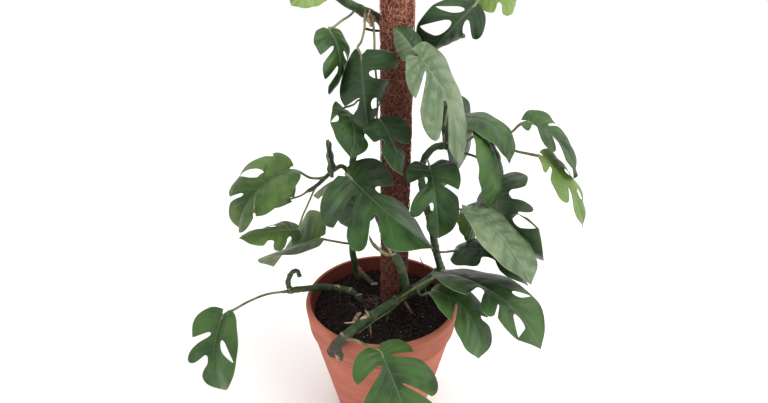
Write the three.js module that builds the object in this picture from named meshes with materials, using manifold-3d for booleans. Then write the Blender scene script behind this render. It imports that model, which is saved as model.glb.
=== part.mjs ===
// A mini monstera on a coir pole in a terracotta pot.
// Millimetres, +Z up, +X to the right, -Y towards the viewer. The origin is the centre of the pot's base.

import * as THREE from 'three';
import { mergeVertices } from 'three/addons/utils/BufferGeometryUtils.js';
import Module from 'manifold-3d';

const wasm = await Module();
wasm.setup();

// Pot
const POT_HEIGHT = 190;
const RIM_RADIUS = 105;
const BAND_HEIGHT = 40;
const BAND_LOW_RADIUS = 101.5;
const BODY_TOP_RADIUS = 98.4;
const BASE_RADIUS = 67.5;
const WALL = 7.5;
const FLOOR = 10;
const DRAIN_RADIUS = 9;
const FOOT_EDGE = 2.5;
const BAND_EDGE = 1.5;
const LIP_EDGE = 4;
const FLOOR_EDGE = 6;
const POT_SIDES = 36;

// Soil
const SOIL_HEIGHT = 168;
const SOIL_BUMP = 2.2;
const SOIL_WAVE = 10;

// Clearance kept between pieces
const GAP = 0.45;

// Coir pole
const POLE_X = 16.5;
const POLE_Y = 20;
const POLE_BOTTOM = 32;
const COIR_TOP = 612;
const COIR_RADIUS = 18.6;
const STAKE_RADIUS = 8;
const STAKE_TOP = 617;
const COIR_EDGE = 2.5;
const POLE_SIDES = 24;

// Stems and stalks
const STEM_SIDES = 8;
const STALK_SIDES = 5;
const STALK_RADIUS = 1.4;
const BIG_STALK_RADIUS = 1.7;
const BIG_LEAF = 90;
const STALK_REACH = 7;
const NODE_SWELL = 1.22;

// Leaf blades
const BLADE = 1.0;
const OVAL_BLUNT = 0.85;
const TIP_TAPER = 0.25;
const DRIP_TIP = 0.08;
const BASE_WIDTH = 0.1;
const BACK_LOBE = 0.08;
const VEIN_SWEEP = 1.3;
const SLIT_START = 0.3;
const CUT_ROUND = 0.22;
const HOLE_WIDEST = 0.3;
const HOLE_END = 0.9;
const LOBE_ROUND = 0.2;
const LOBE_CUP = 2;

// Steps of the blade's grid, as shares of the midrib and of the way out
const FIRST_STOP = 0.14;
const LEAST_STEP = 0.03;
const WIDEST_STEP = 0.26;
const MIDDLE_ROW = 0.5;

const SAME_PLACE = 1e-4;
const ALMOST_FLAT = 1e-6;

const TERRACOTTA = 0xc4705a;
const SOIL_BROWN = 0x2a1c18;
const COIR_BROWN = 0x6e3526;
const STAKE_WOOD = 0x9a7b52;
const STEM_GREEN = 0x4c6647;
const LEAF_GREEN = 0x3f6a3a;
const PALE_GREEN = 0x8ba47c;
const YOUNG_GREEN = 0x6f9440;

const slit = (side, at, inner, gap) => ({ side, at, inner, gap, closed: false });
const hole = (side, at, inner, gap) => ({ side, at, inner, gap, closed: true });

// One row for each leaf. The base is where the blade starts. The midrib leaves it along the compass angle
// aim and the downward angle dip, the blade is rolled about the midrib, and its far end is turned by twist.
// The midrib bends down by arch degrees in all. The halves rise by fold and then bend down by droop.
// Cuts are placed as a share of the midrib and start at a share of the way out to the margin.
const LEAVES = {
  leaf_low_left: {
    base: [-203, -60, 204],
    aim: -110, dip: 33, roll: -5, twist: 0,
    length: 101, left: 41, right: 42, sweep: 2.2,
    arch: 67, fold: 28, droop: 33,
    cuts: [
      hole('left', 0.55, 0.30, 0.050),
      slit('right', 0.51, 0.18, 0.036),
      slit('right', 0.73, 0.26, 0.050),
    ],
    petiole: [[-128, 1, 197], [-155, -8, 199], [-175, -30, 204], [-190, -50, 206]],
  },
  leaf_low_front: {
    base: [-3, -117, 196],
    aim: -65, dip: 13, roll: -9, twist: 22,
    length: 124, left: 51, right: 54, sweep: 2.4,
    arch: 90, fold: 11, droop: 24,
    cuts: [
      slit('left', 0.36, 0.22, 0.027),
      slit('left', 0.64, 0.19, 0.013),
      slit('right', 0.45, 0.12, 0.048),
    ],
    petiole: [[-50, -99, 197], [-33, -106, 203], [-17, -113, 199]],
  },
  leaf_left_mid_back: {
    base: [-108, -21, 388],
    aim: -146, dip: 2, roll: 17, twist: 0,
    length: 99, left: 47, right: 48, sweep: 2.4,
    arch: 90, fold: 45, droop: 101,
    cuts: [
      slit('left', 0.67, 0.30, 0.009),
      slit('right', 0.29, 0.60, 0.027),
      hole('right', 0.57, 0.17, 0.050),
      slit('right', 0.77, 0.27, 0.017),
    ],
    petiole: [[-70, -3, 369], [-86, -6, 371], [-100, -5, 379]],
  },
  leaf_left_mid_front: {
    base: [-117, 7, 337],
    aim: -193, dip: -7, roll: 20, twist: -11,
    length: 76, left: 34, right: 39, sweep: 1.6,
    arch: 75, fold: 25, droop: 15,
    cuts: [],
    petiole: [[-88, -11, 357], [-97, -17, 353], [-104, -21, 352]],
  },
  leaf_left_low_front: {
    base: [-82, 5, 279],
    aim: -198, dip: 19, roll: 17, twist: 35,
    length: 100, left: 48, right: 58, sweep: 1.6,
    arch: 41, fold: 25, droop: 16,
    cuts: [],
    petiole: [[-43, 55, 240], [-52, 44, 248], [-68, 24, 264]],
  },
  leaf_left_low_back: {
    base: [-105, -20, 308],
    aim: -145, dip: -19, roll: 31, twist: 27,
    length: 68, left: 28, right: 29, sweep: 1.8,
    arch: 29, fold: -7, droop: 52,
    cuts: [
      slit('left', 0.37, 0.38, 0.046),
      slit('left', 0.64, 0.52, 0.050),
      hole('right', 0.56, 0.31, 0.050),
    ],
    petiole: [[-80, -8, 361], [-89, -13, 342], [-97, -17, 326]],
  },
  leaf_left_young: {
    base: [-58, -9, 381],
    aim: -123, dip: -67, roll: 64, twist: 2,
    length: 45, left: 18, right: 19, sweep: 1.6,
    arch: -14, fold: 18, droop: 32,
    cuts: [],
    petiole: [[-61, 2, 375], [-59, -3, 377]],
  },
  leaf_centre_big: {
    base: [-35, -70, 403],
    aim: -23, dip: 41, roll: -23, twist: -41,
    length: 111, left: 69, right: 74, sweep: 2.4,
    arch: -20, fold: -12, droop: -2,
    cuts: [
      slit('left', 0.54, 0.24, 0.050),
      slit('right', 0.45, 0.14, 0.041),
      slit('right', 0.68, 0.20, 0.038),
    ],
    petiole: [[-39, 32, 333], [-40, 0, 360], [-40, -38, 388], [-39, -60, 401]],
  },
  leaf_centre_right: {
    base: [54, -32, 397],
    aim: -83, dip: 8, roll: -3, twist: 21,
    length: 84, left: 35, right: 37, sweep: 2.2,
    arch: 78, fold: 24, droop: 20,
    cuts: [
      slit('left', 0.58, 0.27, 0.021),
      slit('right', 0.51, 0.17, 0.065),
      slit('right', 0.78, 0.16, 0.040),
    ],
    petiole: [[52, 26, 379], [54, 4, 389], [54, -17, 395]],
  },
  leaf_upper_left: {
    base: [-54, -15, 542],
    aim: -44, dip: 37, roll: 6, twist: -23,
    length: 70, left: 29, right: 31, sweep: 2.1,
    arch: 95, fold: 1, droop: 27,
    cuts: [
      hole('left', 0.58, 0.27, 0.040),
      slit('right', 0.51, 0.20, 0.031),
      slit('right', 0.74, 0.19, 0.040),
    ],
    petiole: [[-26, 18, 558], [-33, 8, 552], [-42, -2, 548], [-49, -10, 544]],
  },
  leaf_upper_mid: {
    base: [-21, -47, 524],
    aim: -68, dip: 84, roll: -50, twist: -60,
    length: 71, left: 54, right: 41, sweep: 2.0,
    arch: 11, fold: -20, droop: 57,
    cuts: [
      slit('left', 0.49, 0.14, 0.068),
      hole('left', 0.80, 0.28, 0.050),
      slit('right', 0.78, 0.14, 0.044),
    ],
    petiole: [[-19, 24, 553], [-18, 3, 548], [-18, -15, 542], [-21, -29, 533], [-24, -41, 530]],
  },
  leaf_mid_left: {
    base: [-43, -11, 458],
    aim: -55, dip: 10, roll: 41, twist: 60,
    length: 64, left: 30, right: 25, sweep: 1.7,
    arch: 61, fold: 8, droop: 34,
    cuts: [slit('left', 0.70, 0.50, 0.037), hole('right', 0.46, 0.65, 0.040)],
    petiole: [[-22, 20, 455], [-27, 11, 460], [-32, 2, 458]],
  },
  leaf_mid_pole: {
    base: [-3, -50, 460],
    aim: -65, dip: 9, roll: -8, twist: -48,
    length: 66, left: 33, right: 27, sweep: 1.5,
    arch: 66, fold: -7, droop: -3,
    cuts: [slit('left', 0.65, 0.12, 0.047), slit('right', 0.58, 0.40, 0.046)],
    petiole: [
      [-12, 30, 548], [-9, 13, 540], [-8, 6, 527], [-8, 1, 508],
      [-6, 1, 486], [-5, -1, 474], [-5, -6, 457], [-6, -21, 448], [-5, -40, 450],
    ],
  },
  leaf_upper_right: {
    base: [96, -10, 567],
    aim: 233, dip: 20, roll: 43, twist: -51,
    length: 102, left: 45, right: 34, sweep: 2.4,
    arch: 160, fold: -21, droop: 37,
    cuts: [
      slit('left', 0.51, 0.12, 0.063),
      hole('right', 0.45, 0.12, 0.050),
      hole('right', 0.65, 0.12, 0.070),
    ],
    petiole: [[28, 44, 592], [58, 32, 614], [92, 8, 610], [103, -4, 590]],
  },
  leaf_top_right: {
    base: [101, 10, 580],
    aim: -19, dip: 14, roll: -68, twist: -4,
    length: 53, left: 22, right: 24, sweep: 1.6,
    arch: 78, fold: 11, droop: 29,
    cuts: [slit('right', 0.59, 0.36, 0.051)],
    petiole: [[30, 43, 600], [66, 38, 626], [96, 22, 614], [103, 14, 592]],
  },
  leaf_pole_pale: {
    base: [37, -38, 520],
    aim: -203, dip: -57, roll: 47, twist: -25,
    length: 44, left: 18, right: 17, sweep: 1.6,
    arch: 63, fold: -6, droop: 53,
    cuts: [],
    petiole: [[18, 50, 508], [36, 38, 517], [39, 11, 526], [37, -14, 530]],
  },
  leaf_upper_pale: {
    base: [36, -65, 527],
    aim: -9, dip: 45, roll: -18, twist: -4,
    length: 118, left: 54, right: 59, sweep: 2.4,
    arch: 41, fold: 4, droop: 23,
    cuts: [slit('right', 0.39, 0.12, 0.027), slit('right', 0.68, 0.12, 0.038)],
    petiole: [[17, 49, 480], [36, 37, 488], [39, 9, 499], [38, -28, 508], [36, -59, 518]],
  },
  leaf_top_left: {
    base: [-60, -8, 582],
    aim: -112, dip: -9, roll: 31, twist: -15,
    length: 45, left: 18, right: 19, sweep: 1.6,
    arch: 52, fold: 7, droop: 40,
    cuts: [],
    petiole: [[-50, 4, 578], [-54, -2, 583]],
  },
  leaf_right_shade: {
    base: [84, 65, 439],
    aim: -28, dip: 51, roll: -15, twist: -14,
    length: 98, left: 41, right: 41, sweep: 1.6,
    arch: 64, fold: 13, droop: 33,
    cuts: [slit('left', 0.45, 0.50, 0.037)],
    petiole: [[75, 21, 400], [75, 36, 415], [79, 43, 435]],
  },
  leaf_right_arch: {
    base: [88, -1, 442],
    aim: -18, dip: -22, roll: 4, twist: 9,
    length: 85, left: 36, right: 35, sweep: 1.6,
    arch: 106, fold: 6, droop: 21,
    cuts: [hole('left', 0.60, 0.60, 0.020)],
    petiole: [[78, 20, 401], [83, 12, 419], [84, 5, 434]],
  },
  leaf_right_hang: {
    base: [109, -22, 436],
    aim: -25, dip: 33, roll: 18, twist: 26,
    length: 91, left: 40, right: 40, sweep: 1.6,
    arch: 82, fold: 10, droop: 64,
    cuts: [slit('left', 0.65, 0.50, 0.039)],
    petiole: [[80, 20, 399], [94, 4, 417], [102, -12, 431]],
  },
  leaf_far_right_top: {
    base: [172, 25, 430],
    aim: -23, dip: 10, roll: -8, twist: -13,
    length: 92, left: 40, right: 40, sweep: 2.1,
    arch: 66, fold: 24, droop: 46,
    cuts: [
      slit('left', 0.50, 0.24, 0.023),
      slit('right', 0.33, 0.16, 0.055),
      slit('right', 0.61, 0.19, 0.047),
    ],
    petiole: [[81, 23, 402], [103, 30, 416], [137, 30, 407], [157, 30, 415], [164, 28, 424]],
  },
  leaf_far_right_low: {
    base: [193, 5, 393],
    aim: -27, dip: 32, roll: 2, twist: 0,
    length: 95, left: 39, right: 41, sweep: 2.0,
    arch: 39, fold: 19, droop: 45,
    cuts: [
      hole('left', 0.53, 0.30, 0.040),
      hole('left', 0.74, 0.40, 0.040),
      slit('right', 0.34, 0.38, 0.028),
      slit('right', 0.67, 0.20, 0.035),
    ],
    petiole: [[80, 21, 399], [100, 18, 407], [121, 18, 421], [140, 16, 414], [157, 13, 399], [177, 9, 395]],
  },
  leaf_right_back: {
    base: [143, 5, 365],
    aim: -116, dip: 24, roll: -37, twist: 41,
    length: 126, left: 60, right: 57, sweep: 1.7,
    arch: 124, fold: -1, droop: 24,
    cuts: [
      slit('left', 0.39, 0.39, 0.048),
      slit('left', 0.52, 0.60, 0.011),
      hole('left', 0.57, 0.43, 0.040),
    ],
    petiole: [[77, 21, 398], [100, 14, 394], [116, 14, 388], [130, 9, 376]],
  },
  leaf_right_pale: {
    base: [102, -55, 356],
    aim: -43, dip: 18, roll: 19, twist: 11,
    length: 102, left: 44, right: 46, sweep: 1.6,
    arch: 27, fold: 21, droop: 40,
    cuts: [],
    petiole: [[60, 31, 304], [80, 8, 317], [89, -22, 337], [96, -42, 347]],
  },
  leaf_right_low: {
    base: [77, -62, 271],
    aim: -30, dip: -11, roll: 23, twist: 15,
    length: 137, left: 60, right: 59, sweep: 1.4,
    arch: 56, fold: 8, droop: 16,
    cuts: [
      hole('left', 0.64, 0.41, 0.030),
      slit('right', 0.50, 0.22, 0.039),
      slit('right', 0.65, 0.40, 0.008),
      hole('right', 0.82, 0.12, 0.050),
    ],
    petiole: [[21, -16, 195], [36, -32, 222], [54, -46, 246], [67, -56, 262]],
  },
  leaf_right_dark: {
    base: [92, -38, 289],
    aim: -20, dip: -30, roll: -1, twist: -19,
    length: 102, left: 43, right: 44, sweep: 1.5,
    arch: 93, fold: 5, droop: 36,
    cuts: [slit('right', 0.52, 0.43, 0.071)],
    petiole: [[74, 38, 237], [81, 10, 255], [86, -18, 274]],
  },
  leaf_pot_right: {
    base: [64, -92, 266],
    aim: -21, dip: 5, roll: 15, twist: 32,
    length: 98, left: 42, right: 41, sweep: 1.8,
    arch: 85, fold: 10, droop: 28,
    cuts: [slit('left', 0.70, 0.41, 0.025), slit('right', 0.48, 0.16, 0.020)],
    petiole: [[48, 4, 195], [51, -28, 212], [57, -62, 241]],
  },
  leaf_right_small: {
    base: [100, 2, 316],
    aim: -13, dip: 40, roll: -12, twist: 5,
    length: 46, left: 19, right: 20, sweep: 1.6,
    arch: 49, fold: 6, droop: 50,
    cuts: [],
    petiole: [[63, 31, 292], [83, 30, 299]],
  },
  leaf_centre_shade: {
    base: [-18, -34, 359],
    aim: -142, dip: 44, roll: 60, twist: 0,
    length: 55, left: 25, right: 22, sweep: 1.6,
    arch: 72, fold: 7, droop: 28,
    cuts: [slit('left', 0.74, 0.40, 0.073)],
    petiole: [[-7, -22, 338], [-12, -30, 351]],
  },
  leaf_back_mid: {
    base: [10, 84, 322],
    aim: 90, dip: 0, roll: 0, twist: 0,
    length: 99, left: 42, right: 42, sweep: 1.7,
    arch: 44, fold: 8, droop: 35,
    cuts: [
      slit('left', 0.35, 0.30, 0.050),
      slit('left', 0.62, 0.35, 0.050),
      slit('right', 0.40, 0.30, 0.050),
      hole('right', 0.66, 0.35, 0.040),
    ],
    petiole: [[20, 50, 308], [16, 66, 324]],
  },
  leaf_back_left: {
    base: [-26, 84, 330],
    aim: 147, dip: 5, roll: -8, twist: 0,
    length: 92, left: 40, right: 40, sweep: 1.7,
    arch: 55, fold: 8, droop: 35,
    cuts: [
      slit('left', 0.40, 0.30, 0.050),
      slit('right', 0.33, 0.30, 0.050),
      slit('right', 0.60, 0.30, 0.050),
    ],
    petiole: [[20, 50, 330], [0, 66, 342]],
  },
  leaf_back_right: {
    base: [42, 84, 338],
    aim: 50, dip: 5, roll: 8, twist: 0,
    length: 80, left: 34, right: 34, sweep: 1.7,
    arch: 55, fold: 8, droop: 35,
    cuts: [
      slit('left', 0.35, 0.30, 0.050),
      slit('left', 0.62, 0.30, 0.050),
      slit('right', 0.42, 0.30, 0.050),
    ],
    petiole: [[20, 50, 318], [32, 68, 336]],
  },
};

const STEMS = {
  main_stem: [
    {
      radius: 6.3,
      path: [
        [-62, -101, 178], [-54, -102, 193], [-45, -95, 199], [-25, -65, 197], [14, -23, 195],
        [52, 16, 195], [85, 51, 198],
      ],
      steps: 9,
    },
    {
      radius: 4.8,
      path: [
        [85, 51, 198], [74, 38, 240], [65, 32, 284], [55, 30, 322], [49, 28, 363], [53, 25, 384],
        [65, 22, 399], [80, 20, 401],
      ],
      steps: 11,
    },
    {
      radius: 5.6,
      path: [[34, -3, 196], [23, -13, 250], [12, -16, 275], [4, -19, 299], [-4, -22, 325], [-10, -23, 346]],
      steps: 6,
    },
    { radius: 1.6, path: [[14, -23, 195], [8, -27, 178], [4, -26, 140]], steps: 3 },
    { radius: 1.5, path: [[58, 22, 195], [62, 18, 178], [60, 14, 145]], steps: 3 },
  ],
  left_stem: [
    {
      radius: 5,
      path: [
        [-20, 14, 128], [-22, 15, 155], [-34, 19, 172], [-46, 27, 178], [-81, 20, 190],
        [-106, 4, 199], [-130, 1, 198],
      ],
      steps: 10,
    },
    {
      radius: 3.4,
      path: [[-126, 2, 197], [-129, 6, 208], [-122, 8, 224], [-115, 8, 226], [-113, 8, 217]],
      steps: 6,
    },
  ],
  back_stem: [
    {
      radius: 4.6,
      path: [
        [-36, 70, 128], [-37, 70, 175], [-43, 58, 228], [-38, 42, 293], [-39, 32, 336],
        [-37, 25, 374], [-29, 22, 420], [-22, 20, 461],
      ],
      steps: 10,
    },
    {
      radius: 2.7,
      path: [[-38, 28, 355], [-50, 14, 377], [-63, 0, 374], [-77, -7, 363], [-89, -12, 356]],
      steps: 6,
    },
  ],
  climbing_stem: [
    {
      radius: 5.3,
      path: [
        [24, 54, 128], [22, 50, 180], [20, 50, 290], [18, 50, 390], [14, 49, 480], [8, 46, 520],
        [-3, 36, 543], [-21, 22, 554], [-42, 8, 568], [-54, 2, 584],
      ],
      steps: 13,
    },
    { radius: 4, path: [[16, 50, 470], [22, 48, 530], [26, 46, 575], [30, 42, 602]], steps: 4 },
  ],
};

// Swollen joints on the stems, each with the stem's radius there
const STEM_NODES = {
  main_stem: [
    [-25, -65, 197, 6.3], [33, -4, 196, 6.3], [84, 50, 198, 6.3],
    [12, -16, 275, 5.6], [-10, -23, 346, 5.6], [65, 32, 284, 4.8], [80, 20, 401, 4.8],
  ],
  left_stem: [[-81, 20, 190, 5], [-128, 1, 198, 5]],
  back_stem: [[-40, 64, 200, 4.6], [-39, 32, 336, 4.6], [-63, 0, 374, 2.7], [-89, -12, 356, 2.7]],
  climbing_stem: [[20, 50, 240, 5.3], [18, 50, 380, 5.3], [-18, 24, 552, 5.3], [-42, 8, 568, 5.3]],
};

const rad = (degrees) => degrees * Math.PI / 180;

// A geometry with shared vertices as a solid, its faces turned outward
function toSolid(geometry) {
  const bare = geometry.clone();
  bare.deleteAttribute('normal');
  bare.deleteAttribute('uv');
  const merged = mergeVertices(bare, SAME_PLACE);
  const vertices = new Float32Array(merged.attributes.position.array);
  const triangles = new Uint32Array(dropSlivers(merged.index.array));
  if (signedVolume(vertices, triangles) < 0) {
    flip(triangles);
  }
  return new wasm.Manifold(new wasm.Mesh({ numProp: 3, vertProperties: vertices, triVerts: triangles }));
}

function dropSlivers(index) {
  const kept = [];
  for (let i = 0; i < index.length; i += 3) {
    const [a, b, c] = [index[i], index[i + 1], index[i + 2]];
    if (a !== b && b !== c && c !== a) {
      kept.push(a, b, c);
    }
  }
  return kept;
}

function signedVolume(vertices, triangles) {
  const corner = (i) => new THREE.Vector3().fromArray(vertices, 3 * triangles[i]);
  let volume = 0;
  for (let i = 0; i < triangles.length; i += 3) {
    volume += corner(i).dot(corner(i + 1).cross(corner(i + 2))) / 6;
  }
  return volume;
}

function flip(triangles) {
  for (let i = 0; i < triangles.length; i += 3) {
    [triangles[i + 1], triangles[i + 2]] = [triangles[i + 2], triangles[i + 1]];
  }
}

function toGeometry(solid) {
  const mesh = solid.getMesh();
  const geometry = new THREE.BufferGeometry();
  geometry.setAttribute('position', new THREE.BufferAttribute(new Float32Array(mesh.vertProperties), 3));
  geometry.setIndex(new THREE.BufferAttribute(new Uint32Array(mesh.triVerts), 1));
  return geometry;
}

const join = (solids) => solids.reduce((whole, piece) => whole.add(piece));

// A round bar along a smooth curve through the given points
function bar(points, radius, sides, steps) {
  const curve = new THREE.CatmullRomCurve3(points.map((p) => new THREE.Vector3(...p)));
  const section = new THREE.Shape();
  for (let i = 0; i < sides; i += 1) {
    const angle = 2 * Math.PI * i / sides;
    const [x, y] = [radius * Math.cos(angle), radius * Math.sin(angle)];
    if (i === 0) {
      section.moveTo(x, y);
    } else {
      section.lineTo(x, y);
    }
  }
  section.closePath();
  return new THREE.ExtrudeGeometry(section, { steps, extrudePath: curve, bevelEnabled: false });
}

function ball(x, y, z, radius) {
  const geometry = new THREE.SphereGeometry(radius, 6, 4);
  geometry.rotateX(Math.PI / 2);
  geometry.translate(x, y, z);
  return geometry;
}

function turned(profile, sides) {
  const geometry = new THREE.LatheGeometry(profile.map(([r, z]) => new THREE.Vector2(r, z)), sides);
  geometry.rotateX(Math.PI / 2);
  return geometry;
}

function potSolid() {
  const bodyTop = POT_HEIGHT - BAND_HEIGHT;
  const profile = [
    [DRAIN_RADIUS, 0],
    [BASE_RADIUS - FOOT_EDGE, 0],
    [BASE_RADIUS, FOOT_EDGE],
    [BODY_TOP_RADIUS, bodyTop],
    [BAND_LOW_RADIUS, bodyTop + BAND_EDGE],
    [RIM_RADIUS, POT_HEIGHT - LIP_EDGE],
    [RIM_RADIUS - LIP_EDGE / 2, POT_HEIGHT],
    [RIM_RADIUS - WALL + LIP_EDGE / 2, POT_HEIGHT],
    [RIM_RADIUS - WALL, POT_HEIGHT - LIP_EDGE],
    [BODY_TOP_RADIUS - WALL, bodyTop],
    [BASE_RADIUS - WALL, FLOOR + FLOOR_EDGE],
    [BASE_RADIUS - WALL - FLOOR_EDGE, FLOOR],
    [DRAIN_RADIUS, FLOOR],
    [DRAIN_RADIUS, 0],
  ];
  return toSolid(turned(profile, POT_SIDES));
}

// The pot's inner radius at a height above the base bend
function innerRadius(z) {
  const bodyTop = POT_HEIGHT - BAND_HEIGHT;
  const rimInner = RIM_RADIUS - WALL;
  const bodyInner = BODY_TOP_RADIUS - WALL;
  const baseInner = BASE_RADIUS - WALL;
  if (z > bodyTop) {
    return THREE.MathUtils.mapLinear(z, bodyTop, POT_HEIGHT - LIP_EDGE, bodyInner, rimInner);
  }
  return THREE.MathUtils.mapLinear(z, FLOOR + FLOOR_EDGE, bodyTop, baseInner, bodyInner);
}

// Soil with a slightly uneven top, a plain hole for the pole and one round every stem that enters it
function soilSolid(stems) {
  const bodyTop = POT_HEIGHT - BAND_HEIGHT;
  const sideGap = 1.2 * GAP;
  const profile = [
    [0, FLOOR + GAP],
    [BASE_RADIUS - WALL - FLOOR_EDGE - GAP, FLOOR + GAP],
    [innerRadius(FLOOR + FLOOR_EDGE) - sideGap, FLOOR + FLOOR_EDGE],
    [innerRadius(bodyTop) - sideGap, bodyTop],
    [innerRadius(SOIL_HEIGHT - SOIL_BUMP) - sideGap, SOIL_HEIGHT - SOIL_BUMP],
    [0.8 * RIM_RADIUS, SOIL_HEIGHT],
    [0.4 * RIM_RADIUS, SOIL_HEIGHT],
    [0, SOIL_HEIGHT],
  ];
  const geometry = turned(profile, POT_SIDES);
  unevenTop(geometry);
  const holeRadius = COIR_RADIUS + GAP;
  const poleHole = new THREE.CylinderGeometry(holeRadius, holeRadius, 2 * POT_HEIGHT, POLE_SIDES);
  poleHole.rotateX(Math.PI / 2);
  poleHole.translate(POLE_X, POLE_Y, POLE_BOTTOM - GAP + POT_HEIGHT);
  return toSolid(geometry).subtract(toSolid(poleHole)).subtract(stems);
}

function unevenTop(geometry) {
  const position = geometry.attributes.position;
  for (let i = 0; i < position.count; i += 1) {
    const [x, y, z] = [position.getX(i), position.getY(i), position.getZ(i)];
    const away = Math.hypot(x, y);
    if (away < 0.81 * RIM_RADIUS && z > SOIL_HEIGHT - 1) {
      position.setZ(i, z + SOIL_BUMP * Math.sin(x / SOIL_WAVE + 1) * Math.cos(y / SOIL_WAVE));
    }
  }
}

function coirSolid() {
  const profile = [
    [STAKE_RADIUS + GAP, POLE_BOTTOM],
    [COIR_RADIUS, POLE_BOTTOM],
    [COIR_RADIUS, COIR_TOP - COIR_EDGE],
    [COIR_RADIUS - COIR_EDGE, COIR_TOP],
    [STAKE_RADIUS + GAP, COIR_TOP],
    [STAKE_RADIUS + GAP, POLE_BOTTOM],
  ];
  const geometry = turned(profile, POLE_SIDES);
  geometry.translate(POLE_X, POLE_Y, 0);
  return toSolid(geometry);
}

function stakeSolid() {
  const height = STAKE_TOP - POLE_BOTTOM;
  const geometry = new THREE.CylinderGeometry(STAKE_RADIUS, STAKE_RADIUS, height, POLE_SIDES / 2);
  geometry.rotateX(Math.PI / 2);
  geometry.translate(POLE_X, POLE_Y, POLE_BOTTOM + height / 2);
  return toSolid(geometry);
}

// A path carried on past both its ends
function longer(path, extra) {
  const points = path.map((p) => new THREE.Vector3(...p));
  const [first, second] = points;
  const [last, before] = [points[points.length - 1], points[points.length - 2]];
  const start = first.clone().addScaledVector(first.clone().sub(second).normalize(), extra);
  const end = last.clone().addScaledVector(last.clone().sub(before).normalize(), extra);
  return [start, ...points.slice(1, -1), end].map((p) => p.toArray());
}

// A stem with its branches and swollen joints, thicker by extra all round
function stemSolid(name, extra) {
  const bars = STEMS[name].map(({ path, radius, steps }) => (
    toSolid(bar(longer(path, extra), radius + extra, STEM_SIDES, steps))
  ));
  const joints = STEM_NODES[name].map(([x, y, z, r]) => toSolid(ball(x, y, z, r * NODE_SWELL + extra)));
  return join([...bars, ...joints]);
}

// Margin of a half leaf at a share t of the way from base to tip, for a leaf one long and one wide: half an
// oval with blunt ends, narrower towards the tip, with a little width left at the base
function margin(t) {
  const angle = Math.PI * t;
  const taper = 1 - TIP_TAPER * (t ** 3 + t ** 12);
  const across = Math.sin(angle) ** OVAL_BLUNT * taper + BASE_WIDTH * (1 - t) ** 6;
  return [across, (1 - Math.cos(angle)) / 2];
}

// Half width of a cut at a share q of the way from its inner end to the margin
function cutProfile(q, closed) {
  const rise = Math.sqrt(Math.max(0, 1 - (1 - Math.min(q / CUT_ROUND, 1)) ** 2));
  if (!closed) {
    return rise * (0.8 + 0.2 * q + 0.3 * q ** 4);
  }
  const fall = THREE.MathUtils.clamp((HOLE_END - q) / (HOLE_END - HOLE_WIDEST), 0, 1) ** 0.8;
  return rise * (q < HOLE_WIDEST ? 1 : fall);
}

// Flat blade, bent down along its length and across its halves, then turned into place
function bladePoint(leaf, side, t, s, lift) {
  const half = side === 'left' ? leaf.left : leaf.right;
  const [across, along] = margin(t);
  const drip = DRIP_TIP * t ** 12;
  const edge = leaf.length * ((1 + BACK_LOBE) * along - BACK_LOBE + drip);
  const rib = leaf.length * (t ** leaf.sweep + drip);
  const x = half * across * s;
  const y = rib + (edge - rib) * s ** VEIN_SWEEP;

  const fold = rad(leaf.fold);
  const curl = (rad(leaf.droop) / half) || ALMOST_FLAT;
  const out = (Math.sin(fold) - Math.sin(fold - curl * x)) / curl;
  const up = (Math.cos(fold - curl * x) - Math.cos(fold)) / curl + lift * (1 - t ** 6);
  const signed = side === 'left' ? -out : out;
  const turn = rad(leaf.twist) * y / leaf.length;
  const acrossTurned = signed * Math.cos(turn) + up * Math.sin(turn);
  const upTurned = up * Math.cos(turn) - signed * Math.sin(turn);

  const bow = (rad(leaf.arch) / leaf.length) || ALMOST_FLAT;
  const forward = Math.sin(bow * y) / bow + upTurned * Math.sin(bow * y);
  const lifted = (Math.cos(bow * y) - 1) / bow + upTurned * Math.cos(bow * y);
  return place(leaf, acrossTurned, forward, lifted);
}

function leafAxes(leaf) {
  const [aim, dip, roll] = [rad(leaf.aim), rad(leaf.dip), rad(leaf.roll)];
  const ahead = new THREE.Vector3(Math.cos(dip) * Math.cos(aim), Math.cos(dip) * Math.sin(aim), -Math.sin(dip));
  const level = new THREE.Vector3(0, 0, 1).addScaledVector(ahead, Math.sin(dip)).normalize();
  const right = ahead.clone().cross(level).applyAxisAngle(ahead, -roll);
  const top = level.clone().applyAxisAngle(ahead, -roll);
  return { ahead, right, top };
}

function place(leaf, x, y, z) {
  const { ahead, right, top } = leafAxes(leaf);
  const base = new THREE.Vector3(...leaf.base);
  return base.addScaledVector(right, x).addScaledVector(ahead, y).addScaledVector(top, z);
}

// Places along the midrib where the grid has a line: the base, the tip, every cut, and more in wide lobes
function ribStops(leaf) {
  const stops = [0, FIRST_STOP, ...leaf.cuts.map((cut) => cut.at), 1].sort((a, b) => a - b);
  const full = [0];
  for (const stop of stops.slice(1)) {
    const last = full[full.length - 1];
    if (stop - last < LEAST_STEP && !leaf.cuts.some((cut) => cut.at === stop)) {
      continue;
    }
    const parts = Math.ceil((stop - last) / WIDEST_STEP);
    for (let i = 1; i <= parts; i += 1) {
      full.push(i === parts ? stop : last + (stop - last) * i / parts);
    }
  }
  return full.filter((stop, i) => i === 0 || stop > full[i - 1]);
}

// Share of the way out at which the cuts of one side start, smoothly between cuts
function cutStart(t, cuts) {
  if (cuts.length === 0) {
    return SLIT_START;
  }
  const after = cuts.findIndex((cut) => cut.at > t);
  if (after === 0) {
    return cuts[0].inner;
  }
  if (after < 0) {
    return cuts[cuts.length - 1].inner;
  }
  const [low, high] = [cuts[after - 1], cuts[after]];
  return THREE.MathUtils.mapLinear(t, low.at, high.at, low.inner, high.inner);
}

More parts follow.
